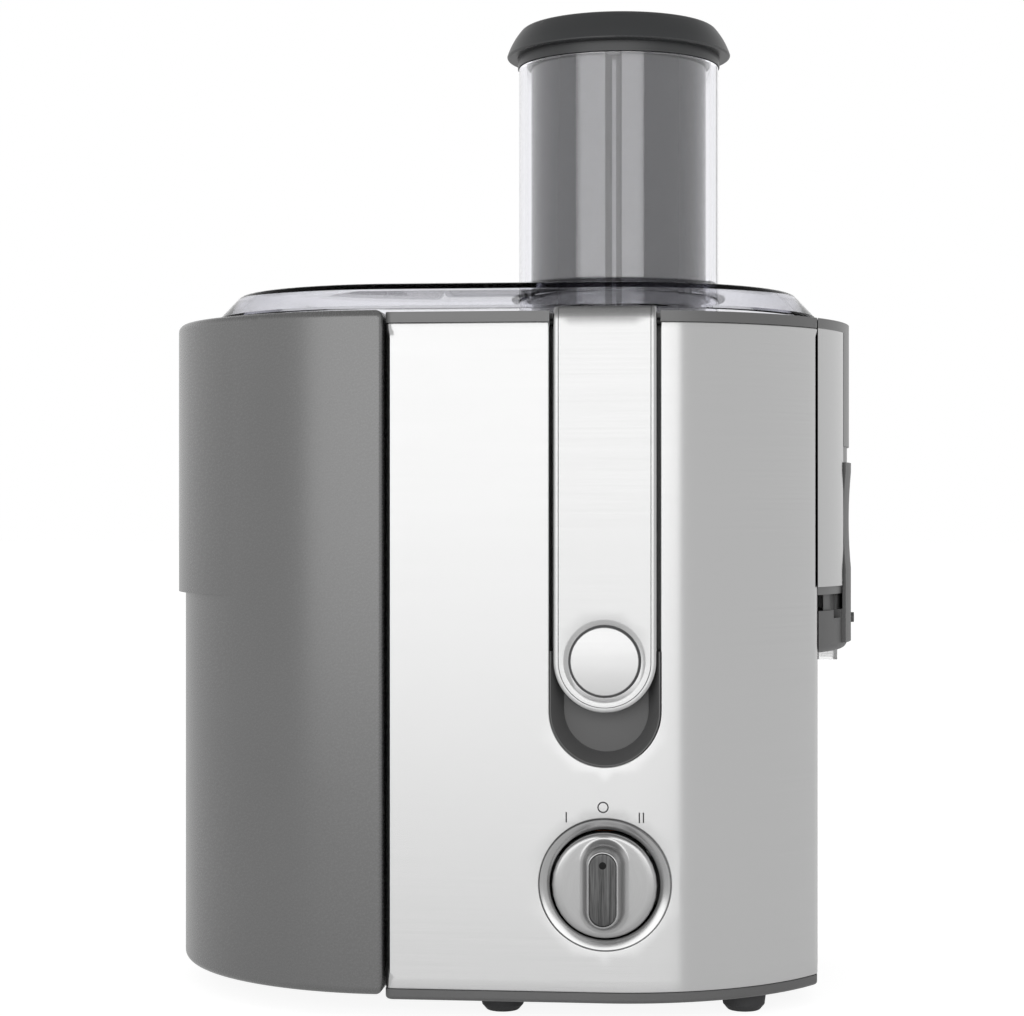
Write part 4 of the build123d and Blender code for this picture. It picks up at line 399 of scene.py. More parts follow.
# Thumb disc of the same sheet, a shade paler than the skin round it
DISC_STEEL = Brushed("stainless_steel_brushed_disc", "#BCBCBC", 0.25, Brush.LEVEL, 1.0, contrast=0.012)
# Dark anodised inlay, brushed upright
INLAY_ALUMINIUM = Brushed("aluminium_dark_upright_brushed", "#525252", 0.38, Brush.UPRIGHT,
                          streak_long_mm=14.0, streak_wide_mm=0.5, contrast=0.5)
# Perforated and punched stainless of the filter
FILTER_STEEL = Brushed("stainless_steel_filter_sheet", "#B8B8B6", 0.30, contrast=0.08)
# Hinge pin, coloured near black as painted shade so that it reads as the shade of the narrow gap between the
# latch and the channel
PIN_PAINTED_SHADE = Brushed("steel_pin_painted_shade", "#2A2A2A", 0.40, streak_long_mm=8.0, contrast=0.08)
# Ground and turned steel of shafts and bearings
SHAFT_STEEL = Brushed("steel_ground_shaft", "#A6A6A4", 0.25, streak_long_mm=8.0, contrast=0.08)
# Zinc plated screws
SCREW_STEEL = Brushed("steel_zinc_plated", "#B0B2B4", 0.33, streak_long_mm=2.0)
# Die cast brackets: dull and a little cloudy
BRACKET_ALLOY = Brushed("aluminium_die_cast", "#A0A2A4", 0.5, Brush.UPRIGHT, streak_long_mm=1.2,
                        streak_wide_mm=1.0, contrast=0.1)
# Satin ABS of the container: dark grey under a silvery gleam
CONTAINER_ABS = Moulded("abs_satin_silver_grey", "#5C5C5C", 0.27, specular=1.0)
# The housing's own ABS, moulded with the same grain
HOUSING_ABS = Moulded("abs_satin_grey_housing", "#585858", 0.36, specular=0.8)
# Tray: much the same grey with a duller grain
TRAY_ABS = Moulded("abs_satin_slate", "#5A5A5A", 0.42, specular=0.6)
# Pusher: smooth grey, seen through the tube
PUSHER_ABS = Moulded("abs_smooth_grey_pusher", "#303032", 0.12, specular=0.9)
# Cap of the pusher: charcoal with a fine matt grain
CAP_ABS = Moulded("abs_matt_charcoal", "#343536", 0.40)
# Finger well and drip stop: dark matt plastic
WELL_ABS = Moulded("abs_matt_dark_grey", "#5B5B5B", 0.5)
# Glass-filled nylon of the hidden frame, cam and coupling
FRAME_NYLON = Moulded("nylon_dark_filled", "#3A3A3B", 0.55)
# Natural nylon of the cooling fan
FAN_NYLON = Moulded("nylon_natural_white", "#CFCBBE", 0.45)
# Rubber of feet, mounts, seal and bushing
RUBBER = Moulded("rubber_moulded_black", "#404041", 0.7, grain_mm=0.5, specular=0.3)
# Pressed carbon of the brushes
CARBON = Moulded("carbon_pressed", "#1E1E20", 0.6, grain_mm=0.3)
# Phenolic and polyester bodies of switches and board parts
COMPONENT = Moulded("polyester_black_component", "#242426", 0.4)
# Glass-fibre board under green solder resist
BOARD = Moulded("glass_fibre_board_green", "#1F5A34", 0.3, grain_mm=1.2)
# Screen-printed ink of the dial's marks
INK = Moulded("ink_screen_printed_black", "#1E1E1F", 0.5, grain_mm=0.2)
# Black paint of the index dot
DOT_PAINT = Moulded("paint_matt_black", "#0A0A0A", 0.6, grain_mm=0.2, specular=0.2)
# Clear SAN: colourless across a wall, dark violet where the eye looks along it
LID_SAN = Clear("san_clear_violet_edge", "#FDFDFE", 1.13, "#30306C", 38.0)
# The same plastic in the straight tube, where less of it is looked through
TUBE_SAN = Clear("san_clear_tube", "#FDFDFE", 1.52, "#484890", 16.0)
# Clear outlet
OUTLET_SAN = Clear("san_clear_outlet", "#DADADA", 1.52, "#606060", 90.0)
# Stacked electrical sheets of the stator and armature
CORE_IRON = Layered("electrical_steel_stacked", "#77787A", "#3A3B3D", 0.8, 0.45)
# Enamelled copper wire, wound and varnished
COPPER_WIRE = Layered("copper_wire_enamelled", "#B4643A", "#5A2C16", 0.9, 0.3)
# Hard copper bars of the commutator
COPPER_BARS = Layered("copper_commutator_bars", "#C07A50", "#3C2A22", 1.6, 0.3)

# Nodes that wear each finish
FINISH_NODES: dict[Finish, str] = {
    TRAY_ABS: "base_tray",
    HOUSING_ABS: "motor_housing juice_bowl",
    WELL_ABS: "finger_well filter_hub filter_rim drip_stop",
    PIN_PAINTED_SHADE: "latch_pin",
    FRAME_NYLON: "latch_frame safety_plunger drive_coupling",
    COMPONENT: "safety_switch rotary_switch board_components brush_holders",
    SHAFT_STEEL: "switch_shaft bearings motor_shaft",
    BOARD: "control_board",
    RUBBER: "cord_inlet motor_mounts bowl_seal foot_front_left "
            "foot_front_right foot_rear_left foot_rear_right",
    SCREW_STEEL: "motor_screws filter_nut tray_screws",
    BRACKET_ALLOY: "top_bracket low_bracket",
    CORE_IRON: "stator_core armature_core",
    COPPER_WIRE: "field_coils armature_windings",
    CARBON: "carbon_brushes",
    COPPER_BARS: "commutator",
    FAN_NYLON: "cooling_fan",
    FILTER_STEEL: "grater_disc filter_cone",
    LATCH_STEEL: "spout_cladding latch_skin",
    OUTLET_SAN: "spout_outlet",
    LID_SAN: "lid",
    TUBE_SAN: "feed_tube",
    PUSHER_ABS: "pusher_body",
    CAP_ABS: "pusher_cap",
    CONTAINER_ABS: "pulp_container",
    PANEL_STEEL: "front_panel",
    DISC_STEEL: "thumb_disc",
    RING_ALUMINIUM: "dial_bezel",
    KNOB_ALLOY: "switch_knob",
    INLAY_ALUMINIUM: "knob_inlay",
}


class Draft:
    """A mesh in the making, in millimetres from the drive axis."""

    # Points nearer than this, in metres, become one
    WELD: ClassVar[float] = 2e-6

    def __init__(self) -> None:
        """Starts with nothing drawn."""
        self.points: list[Vector] = []
        self.faces: list[tuple[int, ...]] = []

    def ring(self, points: Sequence[Sequence[float]]) -> list[int]:
        """Adds points and gives their numbers."""
        first = len(self.points)
        self.points.extend(Vector(p) for p in points)
        return list(range(first, len(self.points)))

    def bridge(self, one: Sequence[int], other: Sequence[int]) -> None:
        """Joins two closed rings of as many points by four-sided faces."""
        count = len(one)
        for i in range(count):
            j = (i + 1) % count
            self.faces.append((one[i], one[j], other[j], other[i]))

    def loft(self, rings: Sequence[Sequence[Sequence[float]]], closed: bool = False) -> list[list[int]]:
        """Joins rings one after another.

        Args:
            rings: Rings of as many points each.
            closed: True if the last ring joins the first.
        Returns:
            The numbers of each ring's points.
        """
        numbers = [self.ring(r) for r in rings]
        for one, other in zip(numbers, numbers[1:]):
            self.bridge(one, other)
        if closed:
            self.bridge(numbers[-1], numbers[0])
        return numbers

    def cap(self, rings: Sequence[Sequence[int]]) -> None:
        """Closes the first and the last of some rings by a face each."""
        self.faces.append(tuple(reversed(rings[0])))
        self.faces.append(tuple(rings[-1]))

    def plate(self, sheet: "Sheet", bend: Place, depth: float) -> None:
        """Adds a sheet without thickness, bent at a depth."""
        flat, faces = sheet.triangles()
        spots = self.ring([bend(*p, depth) for p in flat])
        self.faces.extend(tuple(spots[n] for n in face) for face in faces)

    def build(self, name: str, finish: Finish, crease_deg: float = 32.0) -> Piece:
        """Turns the draft into an object in the frame.

        Args:
            name: Name of the piece.
            finish: Its finish.
            crease_deg: Faces that meet at more than this stay sharp.
        Returns:
            The object, at the origin, with its place in its mesh.
        """
        mesh = bpy.data.meshes.new(name)
        mesh.from_pydata([LAYOUT.place(*p) for p in self.points], [], self.faces)
        shape = bmesh.new()
        shape.from_mesh(mesh)
        bmesh.ops.remove_doubles(shape, verts=shape.verts, dist=self.WELD)
        bmesh.ops.recalc_face_normals(shape, faces=shape.faces)
        shape.to_mesh(mesh)
        shape.free()
        mesh.shade_smooth()
        mesh.set_sharp_from_angle(angle=math.radians(crease_deg))
        mesh.materials.append(finish.material())
        return put(name, mesh)


def split(start: Flat, end: Flat, count: int) -> list[Flat]:
    """Points that cut a straight line into equal lengths, with the start and without the end."""
    return [(start[0] + (end[0] - start[0]) * i / count, start[1] + (end[1] - start[1]) * i / count)
            for i in range(count)]


def run(start: Flat, end: Flat, step: float) -> list[Flat]:
    """Points along a straight line at about a step, with the start and without the end."""
    return split(start, end, max(1, math.ceil(math.dist(start, end) / step)))


def arc(centre: Flat, radius: float, start_deg: float, end_deg: float, count: int) -> list[Flat]:
    """Points along an arc, with the start and without the end."""
    turns = [math.radians(start_deg + (end_deg - start_deg) * i / count) for i in range(count)]
    return [(centre[0] + radius * math.cos(a), centre[1] + radius * math.sin(a)) for a in turns]


def outward(loop: Sequence[Flat]) -> list[Flat]:
    """Directions away from a sheet along its edge, for a loop that keeps the sheet on its left."""
    found = []
    count = len(loop)
    for i in range(count):
        before, after = loop[i - 1], loop[(i + 1) % count]
        along = Vector((after[0] - before[0], after[1] - before[1])).normalized()
        found.append((along.y, -along.x))
    return found


def grown(loop: Sequence[Flat], amount: float) -> list[Flat]:
    """A loop moved away from its sheet by an amount."""
    return [(p[0] + d[0] * amount, p[1] + d[1] * amount) for p, d in zip(loop, outward(loop))]


def inside(point: Flat, loop: Sequence[Flat]) -> bool:
    """True if a point lies inside a loop."""
    hit = False
    for (x0, y0), (x1, y1) in zip(loop, [*loop[1:], loop[0]]):
        if (y0 > point[1]) != (y1 > point[1]) and point[0] < (x1 - x0) * (point[1] - y0) / (y1 - y0) + x0:
            hit = not hit
    return hit


@dataclass
class Sheet:
    """A flat sheet with holes, cut into triangles that can then be bent.

    The outer loop runs anticlockwise and each hole clockwise, so both keep the sheet on their left.
    """

    outer: list[Flat]
    holes: list[list[Flat]] = field(default_factory=list)
    spacing: float = 5.0
    # Room that inner points leave to the loops, as a share of their spacing
    ROOM: ClassVar[float] = 0.6
    # Points nearer than this are one
    WELD: ClassVar[float] = 1e-7

    def triangles(self) -> tuple[list[Flat], list[tuple[int, int, int]]]:
        """Cuts the sheet into triangles.

        Returns:
            Points, those of the loops first and in order, and triangles by number.
        """
        loops = [self.outer, *self.holes]
        points: list[Flat] = []
        edges: list[tuple[int, int]] = []
        for loop in loops:
            first = len(points)
            points.extend(loop)
            edges.extend((first + i, first + (i + 1) % len(loop)) for i in range(len(loop)))
        border = [Vector(p) for p in points]
        lows = [min(p[k] for p in self.outer) for k in (0, 1)]
        highs = [max(p[k] for p in self.outer) for k in (0, 1)]
        counts = [int((highs[k] - lows[k]) / self.spacing) for k in (0, 1)]
        room = self.spacing * self.ROOM
        for i in range(1, counts[0] + 1):
            for j in range(1, counts[1] + 1):
                spot = (lows[0] + i * self.spacing, lows[1] + j * self.spacing)
                if self.holds(spot) and min((Vector(spot) - b).length_squared for b in border) > room * room:
                    points.append(spot)
        made = delaunay_2d_cdt([Vector(p) for p in points], edges, [], 0, self.WELD)
        places, faces = made[0], made[2]
        middle = [sum((places[n] for n in f), Vector((0, 0))) / 3 for f in faces]
        kept = [tuple(f) for f, m in zip(faces, middle) if self.holds((m.x, m.y))]
        return [(p.x, p.y) for p in places], kept

    def holds(self, point: Flat) -> bool:
        """True if the sheet has material at a point."""
        return inside(point, self.outer) and not any(inside(point, h) for h in self.holes)


def solid_sheet(draft: Draft, sheet: Sheet, bend: Place, thick: float, round_r: float) -> None:
    """Adds a bent sheet with rounded front edges and a flat back.

    Args:
        draft: Mesh that takes it.
        sheet: The flat sheet, drawn in by the rounding's radius.
        bend: Gives the place of a point at some depth behind the front.
        thick: Thickness of the sheet.
        round_r: Radius of its front edges.
    """
    flat, faces = sheet.triangles()
    front = draft.ring([bend(*p, 0) for p in flat])
    back_flat = list(flat)
    spans = []
    start = 0
    for loop in (sheet.outer, *sheet.holes):
        end = start + len(loop)
        spans.append((loop, start, end))
        back_flat[start:end] = grown(loop, round_r)
        start = end
    back = draft.ring([bend(*p, thick) for p in back_flat])
    for face in faces:
        draft.faces.append(tuple(front[n] for n in face))
        draft.faces.append(tuple(back[n] for n in reversed(face)))
    for loop, start, end in spans:
        edge = front[start:end]
        for k in range(1, EDGE_STEPS + 1):
            turn = math.pi / 2 * k / EDGE_STEPS
            depth = round_r * (1 - math.cos(turn))
            nearer = draft.ring([bend(*p, depth) for p in grown(loop, round_r * math.sin(turn))])
            draft.bridge(nearer, edge)
            edge = nearer
        draft.bridge(back[start:end], edge)


def lathe_rings(profile: Sequence[Flat], place: Place, count: int = CIRCLE) -> list[list[Sequence[float]]]:
    """Rings of a turned form.

    Args:
        profile: Points of radius and height along the axis.
        place: Gives the place of a radius, turn in radians and height.
        count: Points in each ring.
    Returns:
        One ring for each point of the profile.
    """
    turns = [2 * math.pi * i / count for i in range(count)]
    return [[place(r, t, h) for t in turns] for r, h in profile]


def adopt(piece: Piece, body: str, *nodes: str) -> Piece:
    """Makes a piece ride on a body and stand for nodes, and reports it."""
    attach(piece, body)
    if nodes:
        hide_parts(*nodes)
    LOG.info("%s rides on %s and stands for %s", piece.name, body, ", ".join(nodes) or "no node")
    return piece


def geometry_tree(name: str, sizes: dict[str, float]) -> tuple[Tree, Sockets, Node]:
    """Makes an empty geometry tree with a named input for each size.

    Args:
        name: Name of the tree.
        sizes: Names and values of its inputs, whole numbers for counts.
    Returns:
        The tree, its named inputs and its output node.
    """
    tree = bpy.data.node_groups.new(name, "GeometryNodeTree")
    tree.interface.new_socket("Geometry", in_out="INPUT", socket_type="NodeSocketGeometry")
    for key, value in sizes.items():
        kind = "NodeSocketInt" if isinstance(value, int) else "NodeSocketFloat"
        tree.interface.new_socket(key, in_out="INPUT", socket_type=kind)
    tree.interface.new_socket("Geometry", in_out="OUTPUT", socket_type="NodeSocketGeometry")
    return tree, add_node(tree, "NodeGroupInput").outputs, add_node(tree, "NodeGroupOutput")


def finish_tree(tree: Tree, out: Node, points: Socket, shape: Socket, finish: Finish) -> None:
    """Ends a geometry tree: the shape on every point, made real, and the finish set."""
    copies = add_node(tree, "GeometryNodeInstanceOnPoints", {"Points": points, "Instance": shape})
    real = add_node(tree, "GeometryNodeRealizeInstances", {"Geometry": copies.outputs["Instances"]})
    dressed = add_node(tree, "GeometryNodeSetMaterial", {"Geometry": real.outputs["Geometry"],
                                                         "Material": finish.material()})
    tree.links.new(dressed.outputs["Geometry"], out.inputs["Geometry"])


def grow(name: str, tree: Tree, sizes: dict[str, float], points: Sequence[Vector]) -> Piece:
    """Runs a geometry tree on points and keeps the result as a plain mesh.

    Args:
        name: Name of the piece.
        tree: The tree.
        sizes: Values of its named inputs.
        points: Places that the tree starts from.
    Returns:
        The piece, without a modifier.
    """
    start = bpy.data.meshes.new(name + "_places")
    start.from_pydata(points, [], [])
    piece = put(name, start)
    rule = piece.modifiers.new("rule", "NODES")
    rule.node_group = tree
    for item in tree.interface.items_tree:
        if item.in_out == "INPUT" and item.name in sizes:
            rule[item.identifier] = sizes[item.name]
    mesh = bpy.data.meshes.new_from_object(piece.evaluated_get(bpy.context.evaluated_depsgraph_get()))
    piece.modifiers.clear()
    piece.data = mesh
    return piece


@dataclass
class TrayScrews:
    """Cross-head screws under the tray, all alike."""

    head_r: float = 3.2
    head_h: float = 2.0
    shank_r: float = 1.5
    cross_long: float = 3.6
    cross_wide: float = 0.8
    cross_deep: float = 1.1
    left: Flat = (-75.5, 76.0)
    right_r: float = 86.5
    right_deg: float = 36.0
    HEAD_POINTS: ClassVar[int] = 40
    SHANK_POINTS: ClassVar[int] = 24

    @staticmethod
    def post(tree: Tree, count: int, radius: Socket, height: Socket, middle: Socket) -> Socket:
        """Round post of a height about a middle."""
        shape = add_node(tree, "GeometryNodeMeshCylinder", {
            "Vertices": count, "Radius": radius, "Depth": height}).outputs["Mesh"]
        lift = add_node(tree, "ShaderNodeCombineXYZ", {"Z": middle}).outputs["Vector"]
        raised = add_node(tree, "GeometryNodeTransform", {"Geometry": shape, "Translation": lift})
        return raised.outputs["Geometry"]

    def build(self) -> None:
        """Makes the screws by one tree, standing on their places."""
        low, high = LAYOUT.span("tray_screws")
        turn = math.radians(self.right_deg)
        right = (self.right_r * math.cos(turn), self.right_r * math.sin(turn))
        points = [LAYOUT.place(x, side * y, low.z) for x, y in (self.left, right) for side in (-1, 1)]
        sizes = {"Head Radius": self.head_r * MM, "Head Height": self.head_h * MM,
                 "Shank Radius": self.shank_r * MM, "Shank Length": (high.z - low.z - self.head_h) * MM}
        tree, size, out = geometry_tree("tray_screw", sizes)
        head_h, shank_h = size["Head Height"], size["Shank Length"]
        half = reckon(tree, "MULTIPLY", head_h, 0.5)
        head = self.post(tree, self.HEAD_POINTS, size["Head Radius"], head_h, half)
        recess = add_node(tree, "GeometryNodeMeshBoolean", {"Mesh 1": head}, operation="DIFFERENCE")
        for long, wide in ((self.cross_long, self.cross_wide), (self.cross_wide, self.cross_long)):
            box = (long * MM, wide * MM, 2 * self.cross_deep * MM)
            bar = add_node(tree, "GeometryNodeMeshCube", {"Size": box})
            tree.links.new(bar.outputs["Mesh"], recess.inputs["Mesh 2"])
        rise = reckon(tree, "MULTIPLY_ADD", shank_h, 0.5, head_h)
        shank = self.post(tree, self.SHANK_POINTS, size["Shank Radius"], shank_h, rise)
        screw = add_node(tree, "GeometryNodeJoinGeometry", {"Geometry": recess.outputs["Mesh"]})
        tree.links.new(shank, screw.inputs["Geometry"])
        finish_tree(tree, out, size["Geometry"], screw.outputs["Geometry"], SCREW_STEEL)
        adopt(grow("tray_cross_screws", tree, sizes, points), "base", "tray_screws")


@dataclass
class FilterCone:
    """Perforated cone of the filter basket."""

    low_r: float = 46.0
    top_r: float = 64.0
    thick: float = 0.6
    around: int = 168
    rows: int = 24
    open_share: float = 0.55
    WELD: ClassVar[float] = 1e-5

    def weld(self, tree: Tree, shape: Socket) -> Socket:
        """The shape with points that meet made one."""
        joined = add_node(tree, "GeometryNodeMergeByDistance", {"Geometry": shape, "Distance": self.WELD})
        return joined.outputs["Geometry"]

    def roll(self, tree: Tree, size: Sockets) -> Socket:
        """A grid rolled into a cone.

        Args:
            tree: The cone's tree.
            size: The tree's named inputs.
        Returns:
            The cone, without holes or thickness.
        """
        grid = add_node(tree, "GeometryNodeMeshGrid", {
            "Size X": 1.0, "Size Y": 1.0, "Vertices X": size["Around"], "Vertices Y": size["Rows"]})
        here = add_node(tree, "GeometryNodeInputPosition").outputs[0]
        flat = add_node(tree, "ShaderNodeSeparateXYZ", {"Vector": here}).outputs
        turn = reckon(tree, "MULTIPLY", flat["X"], 2 * math.pi)
        share = reckon(tree, "ADD", flat["Y"], 0.5)
        widening = reckon(tree, "SUBTRACT", size["Top Radius"], size["Low Radius"])
        radius = reckon(tree, "MULTIPLY_ADD", share, widening, size["Low Radius"])
        rolled = add_node(tree, "ShaderNodeCombineXYZ", {
            "X": reckon(tree, "MULTIPLY", radius, reckon(tree, "COSINE", turn)),
            "Y": reckon(tree, "MULTIPLY", radius, reckon(tree, "SINE", turn)),
            "Z": reckon(tree, "MULTIPLY", share, size["Height"])}).outputs["Vector"]
        cone = add_node(tree, "GeometryNodeSetPosition", {
            "Geometry": grid.outputs["Mesh"], "Position": rolled})
        return self.weld(tree, cone.outputs["Geometry"])

    def build(self) -> None:
        """Makes the cone by one tree: a rolled grid with a hole in every cell, then its thickness."""
        low, high = LAYOUT.span("filter_cone")
        sizes = {"Low Radius": self.low_r * MM, "Top Radius": self.top_r * MM,
                 "Height": (high.z - low.z) * MM, "Around": self.around + 1, "Rows": self.rows + 1,
                 "Thickness": self.thick * MM, "Open Share": self.open_share}
        tree, size, out = geometry_tree("perforated_cone", sizes)
        cells = add_node(tree, "GeometryNodeExtrudeMesh", {
            "Mesh": self.roll(tree, size), "Offset Scale": 0.0, "Individual": True}, mode="FACES").outputs
        drawn = add_node(tree, "GeometryNodeScaleElements", {
            "Geometry": cells["Mesh"], "Selection": cells["Top"], "Scale": size["Open Share"]}, domain="FACE")
        holed = add_node(tree, "GeometryNodeDeleteGeometry", {
            "Geometry": drawn.outputs["Geometry"], "Selection": cells["Top"]}, domain="FACE")
        skin = self.weld(tree, holed.outputs["Geometry"])
        inward = reckon(tree, "MULTIPLY", size["Thickness"], -1.0)
        walls = add_node(tree, "GeometryNodeExtrudeMesh", {
            "Mesh": skin, "Offset Scale": inward, "Individual": False}, mode="FACES")
        turned = add_node(tree, "GeometryNodeFlipFaces", {"Mesh": walls.outputs["Mesh"]})
        shell = add_node(tree, "GeometryNodeJoinGeometry", {"Geometry": skin})
        tree.links.new(turned.outputs["Mesh"], shell.inputs["Geometry"])
        whole = self.weld(tree, shell.outputs["Geometry"])
        finish_tree(tree, out, size["Geometry"], whole, FILTER_STEEL)
        adopt(grow("filter_mesh_cone", tree, sizes, [LAYOUT.place(0, 0, low.z)]), "rotor", "filter_cone")


@dataclass
class ClearLid:
    """Clear lid: a crowned shell with the tube's hole, the skirt in the bowl and the latch's tongue."""

    radius: float = 79.5
    spacing: float = 84.0
    z0: float = 265.3
    flange_h: float = 1.2
    flange_edge: float = 0.3
    shoulder_z: float = 275.5
    top_z: float = 277.4
    slope: float = 8.5
    crown_run: float = 17.0
    thick: float = 2.4
    hole_r: float = 40.7
    mesh_step: float = 9.0
    skirt_r: float = 71.5
    skirt_thick: float = 2.0
    skirt_z: Flat = (254.3, 263.2)
    tongue_half: float = 8.5
    tongue_y: Flat = (-80.57, -78.57)
    tongue_z: Flat = (248.0, 266.5)
    tooth_y: float = -82.8
    tooth_z: float = 254.0
    END_POINTS: ClassVar[int] = 72
    SIDE_POINTS: ClassVar[int] = 24
    # Rounding of the shoulder, inward and up from its corner
    SHOULDER: ClassVar[tuple[Flat, ...]] = (
        (-0.76, -0.8), (-0.35, -0.44), (0.1, -0.17), (0.58, 0.02), (1.1, 0.12))

    def plan(self, inset: float) -> list[Flat]:
        """Outline of the lid seen from above, drawn in by an inset."""
        r, left = self.radius - inset, -self.spacing
        loop = arc((0, 0), r, -90, 90, self.END_POINTS) + split((0, r), (left, r), self.SIDE_POINTS)
        loop += arc((left, 0), r, 90, 270, self.END_POINTS) + split((left, -r), (0, -r), self.SIDE_POINTS)
        return loop

    def rings(self, profile: Sequence[Flat]) -> list[list[Spot]]:
        """Outlines along a profile of insets and heights."""
        return [[(x, y, z) for x, y in self.plan(inset)] for inset, z in profile]

    def add_shell(self, draft: Draft) -> None:
        """Adds the crowned shell with its hole."""
        under_z = self.top_z - self.thick
        outer_in = self.slope + self.crown_run
        inner_in = outer_in + self.thick
        foot, edge, s, z = self.z0, self.flange_edge, self.slope, self.shoulder_z
        outer = [(edge, foot), (0.0, foot + edge), (0.0, foot + self.flange_h)]
        outer += [(s + inward, z + up) for inward, up in self.SHOULDER]
        inner = [(inner_in, under_z), (s + self.thick, z - self.thick), (self.thick, foot)]
        rings = self.rings([*outer, (outer_in, self.top_z)])
        draft.loft(rings)
        draft.loft(self.rings(inner) + rings[:1])
        hole = arc((0, 0), self.hole_r, 0, -360, CIRCLE)
        for inset, height in ((outer_in, self.top_z), (inner_in, under_z)):
            sheet = Sheet(self.plan(inset), [hole], self.mesh_step)
            draft.plate(sheet, lambda *spot: spot, height)
        draft.loft([[(x, y, height) for x, y in hole] for height in (self.top_z, under_z)])

    def add_tongue(self, draft: Draft) -> None:
        """Adds the tongue, whose tooth the latch holds down."""
        (front, back), (low, high) = self.tongue_y, self.tongue_z
        hook = [(front, high), (back, high), (back, low), (self.tooth_y, low), (self.tooth_y, self.tooth_z),
                (front, self.tooth_z)]
        draft.cap(draft.loft([[(x, y, z) for y, z in hook] for x in (-self.tongue_half, self.tongue_half)]))

    def build(self) -> None:
        """Makes the lid and dresses it."""
        draft = Draft()
        self.add_shell(draft)
        inner_r, (low, high) = self.skirt_r - self.skirt_thick, self.skirt_z
        skirt = [(self.skirt_r, low), (self.skirt_r, high), (inner_r, high), (inner_r, low)]
        draft.loft(lathe_rings(skirt, lambda r, t, h: (r * math.cos(t), r * math.sin(t), h)), closed=True)
        self.add_tongue(draft)
        adopt(draft.build("clear_crowned_lid", LID_SAN), "base", "lid")


@dataclass
class PusherBody:
    """Grey plunger in the tube, with the upright groove that runs on the tube's rib."""

    radius: float = 35.5
    groove_half: float = 3.2
    groove_deep: float = 6.5
    floor_share: float = 0.25
    foot_r: float = 2.0
    around: int = 168

    def section(self, inset: float) -> list[Flat]:
        """Plan of the plunger, drawn in by an inset."""
        edge = math.degrees(math.asin(self.groove_half / self.radius))
        loop = arc((0, 0), self.radius - inset, -90 + edge, 270 - edge, self.around)
        lip = self.radius * math.cos(math.radians(edge)) - inset
        floor = self.radius - self.groove_deep
        floor_half = self.groove_half * self.floor_share
        return loop + [(-self.groove_half, -lip), (-floor_half, -floor), (floor_half, -floor)]

    def build(self) -> None:
        """Makes the plunger and dresses it."""
        low, high = LAYOUT.span("pusher_body")
        turns = [math.pi / 2 * k / EDGE_STEPS for k in range(EDGE_STEPS + 1)]
        rows = [(self.foot_r * (1 - math.sin(t)), low.z + self.foot_r * (1 - math.cos(t))) for t in turns]
        rows.append((0.0, high.z))
        draft = Draft()
        draft.cap(draft.loft([[(x, y, z) for x, y in self.section(inset)] for inset, z in rows]))
        adopt(draft.build("grooved_pusher", PUSHER_ABS), "pusher", "pusher_body")


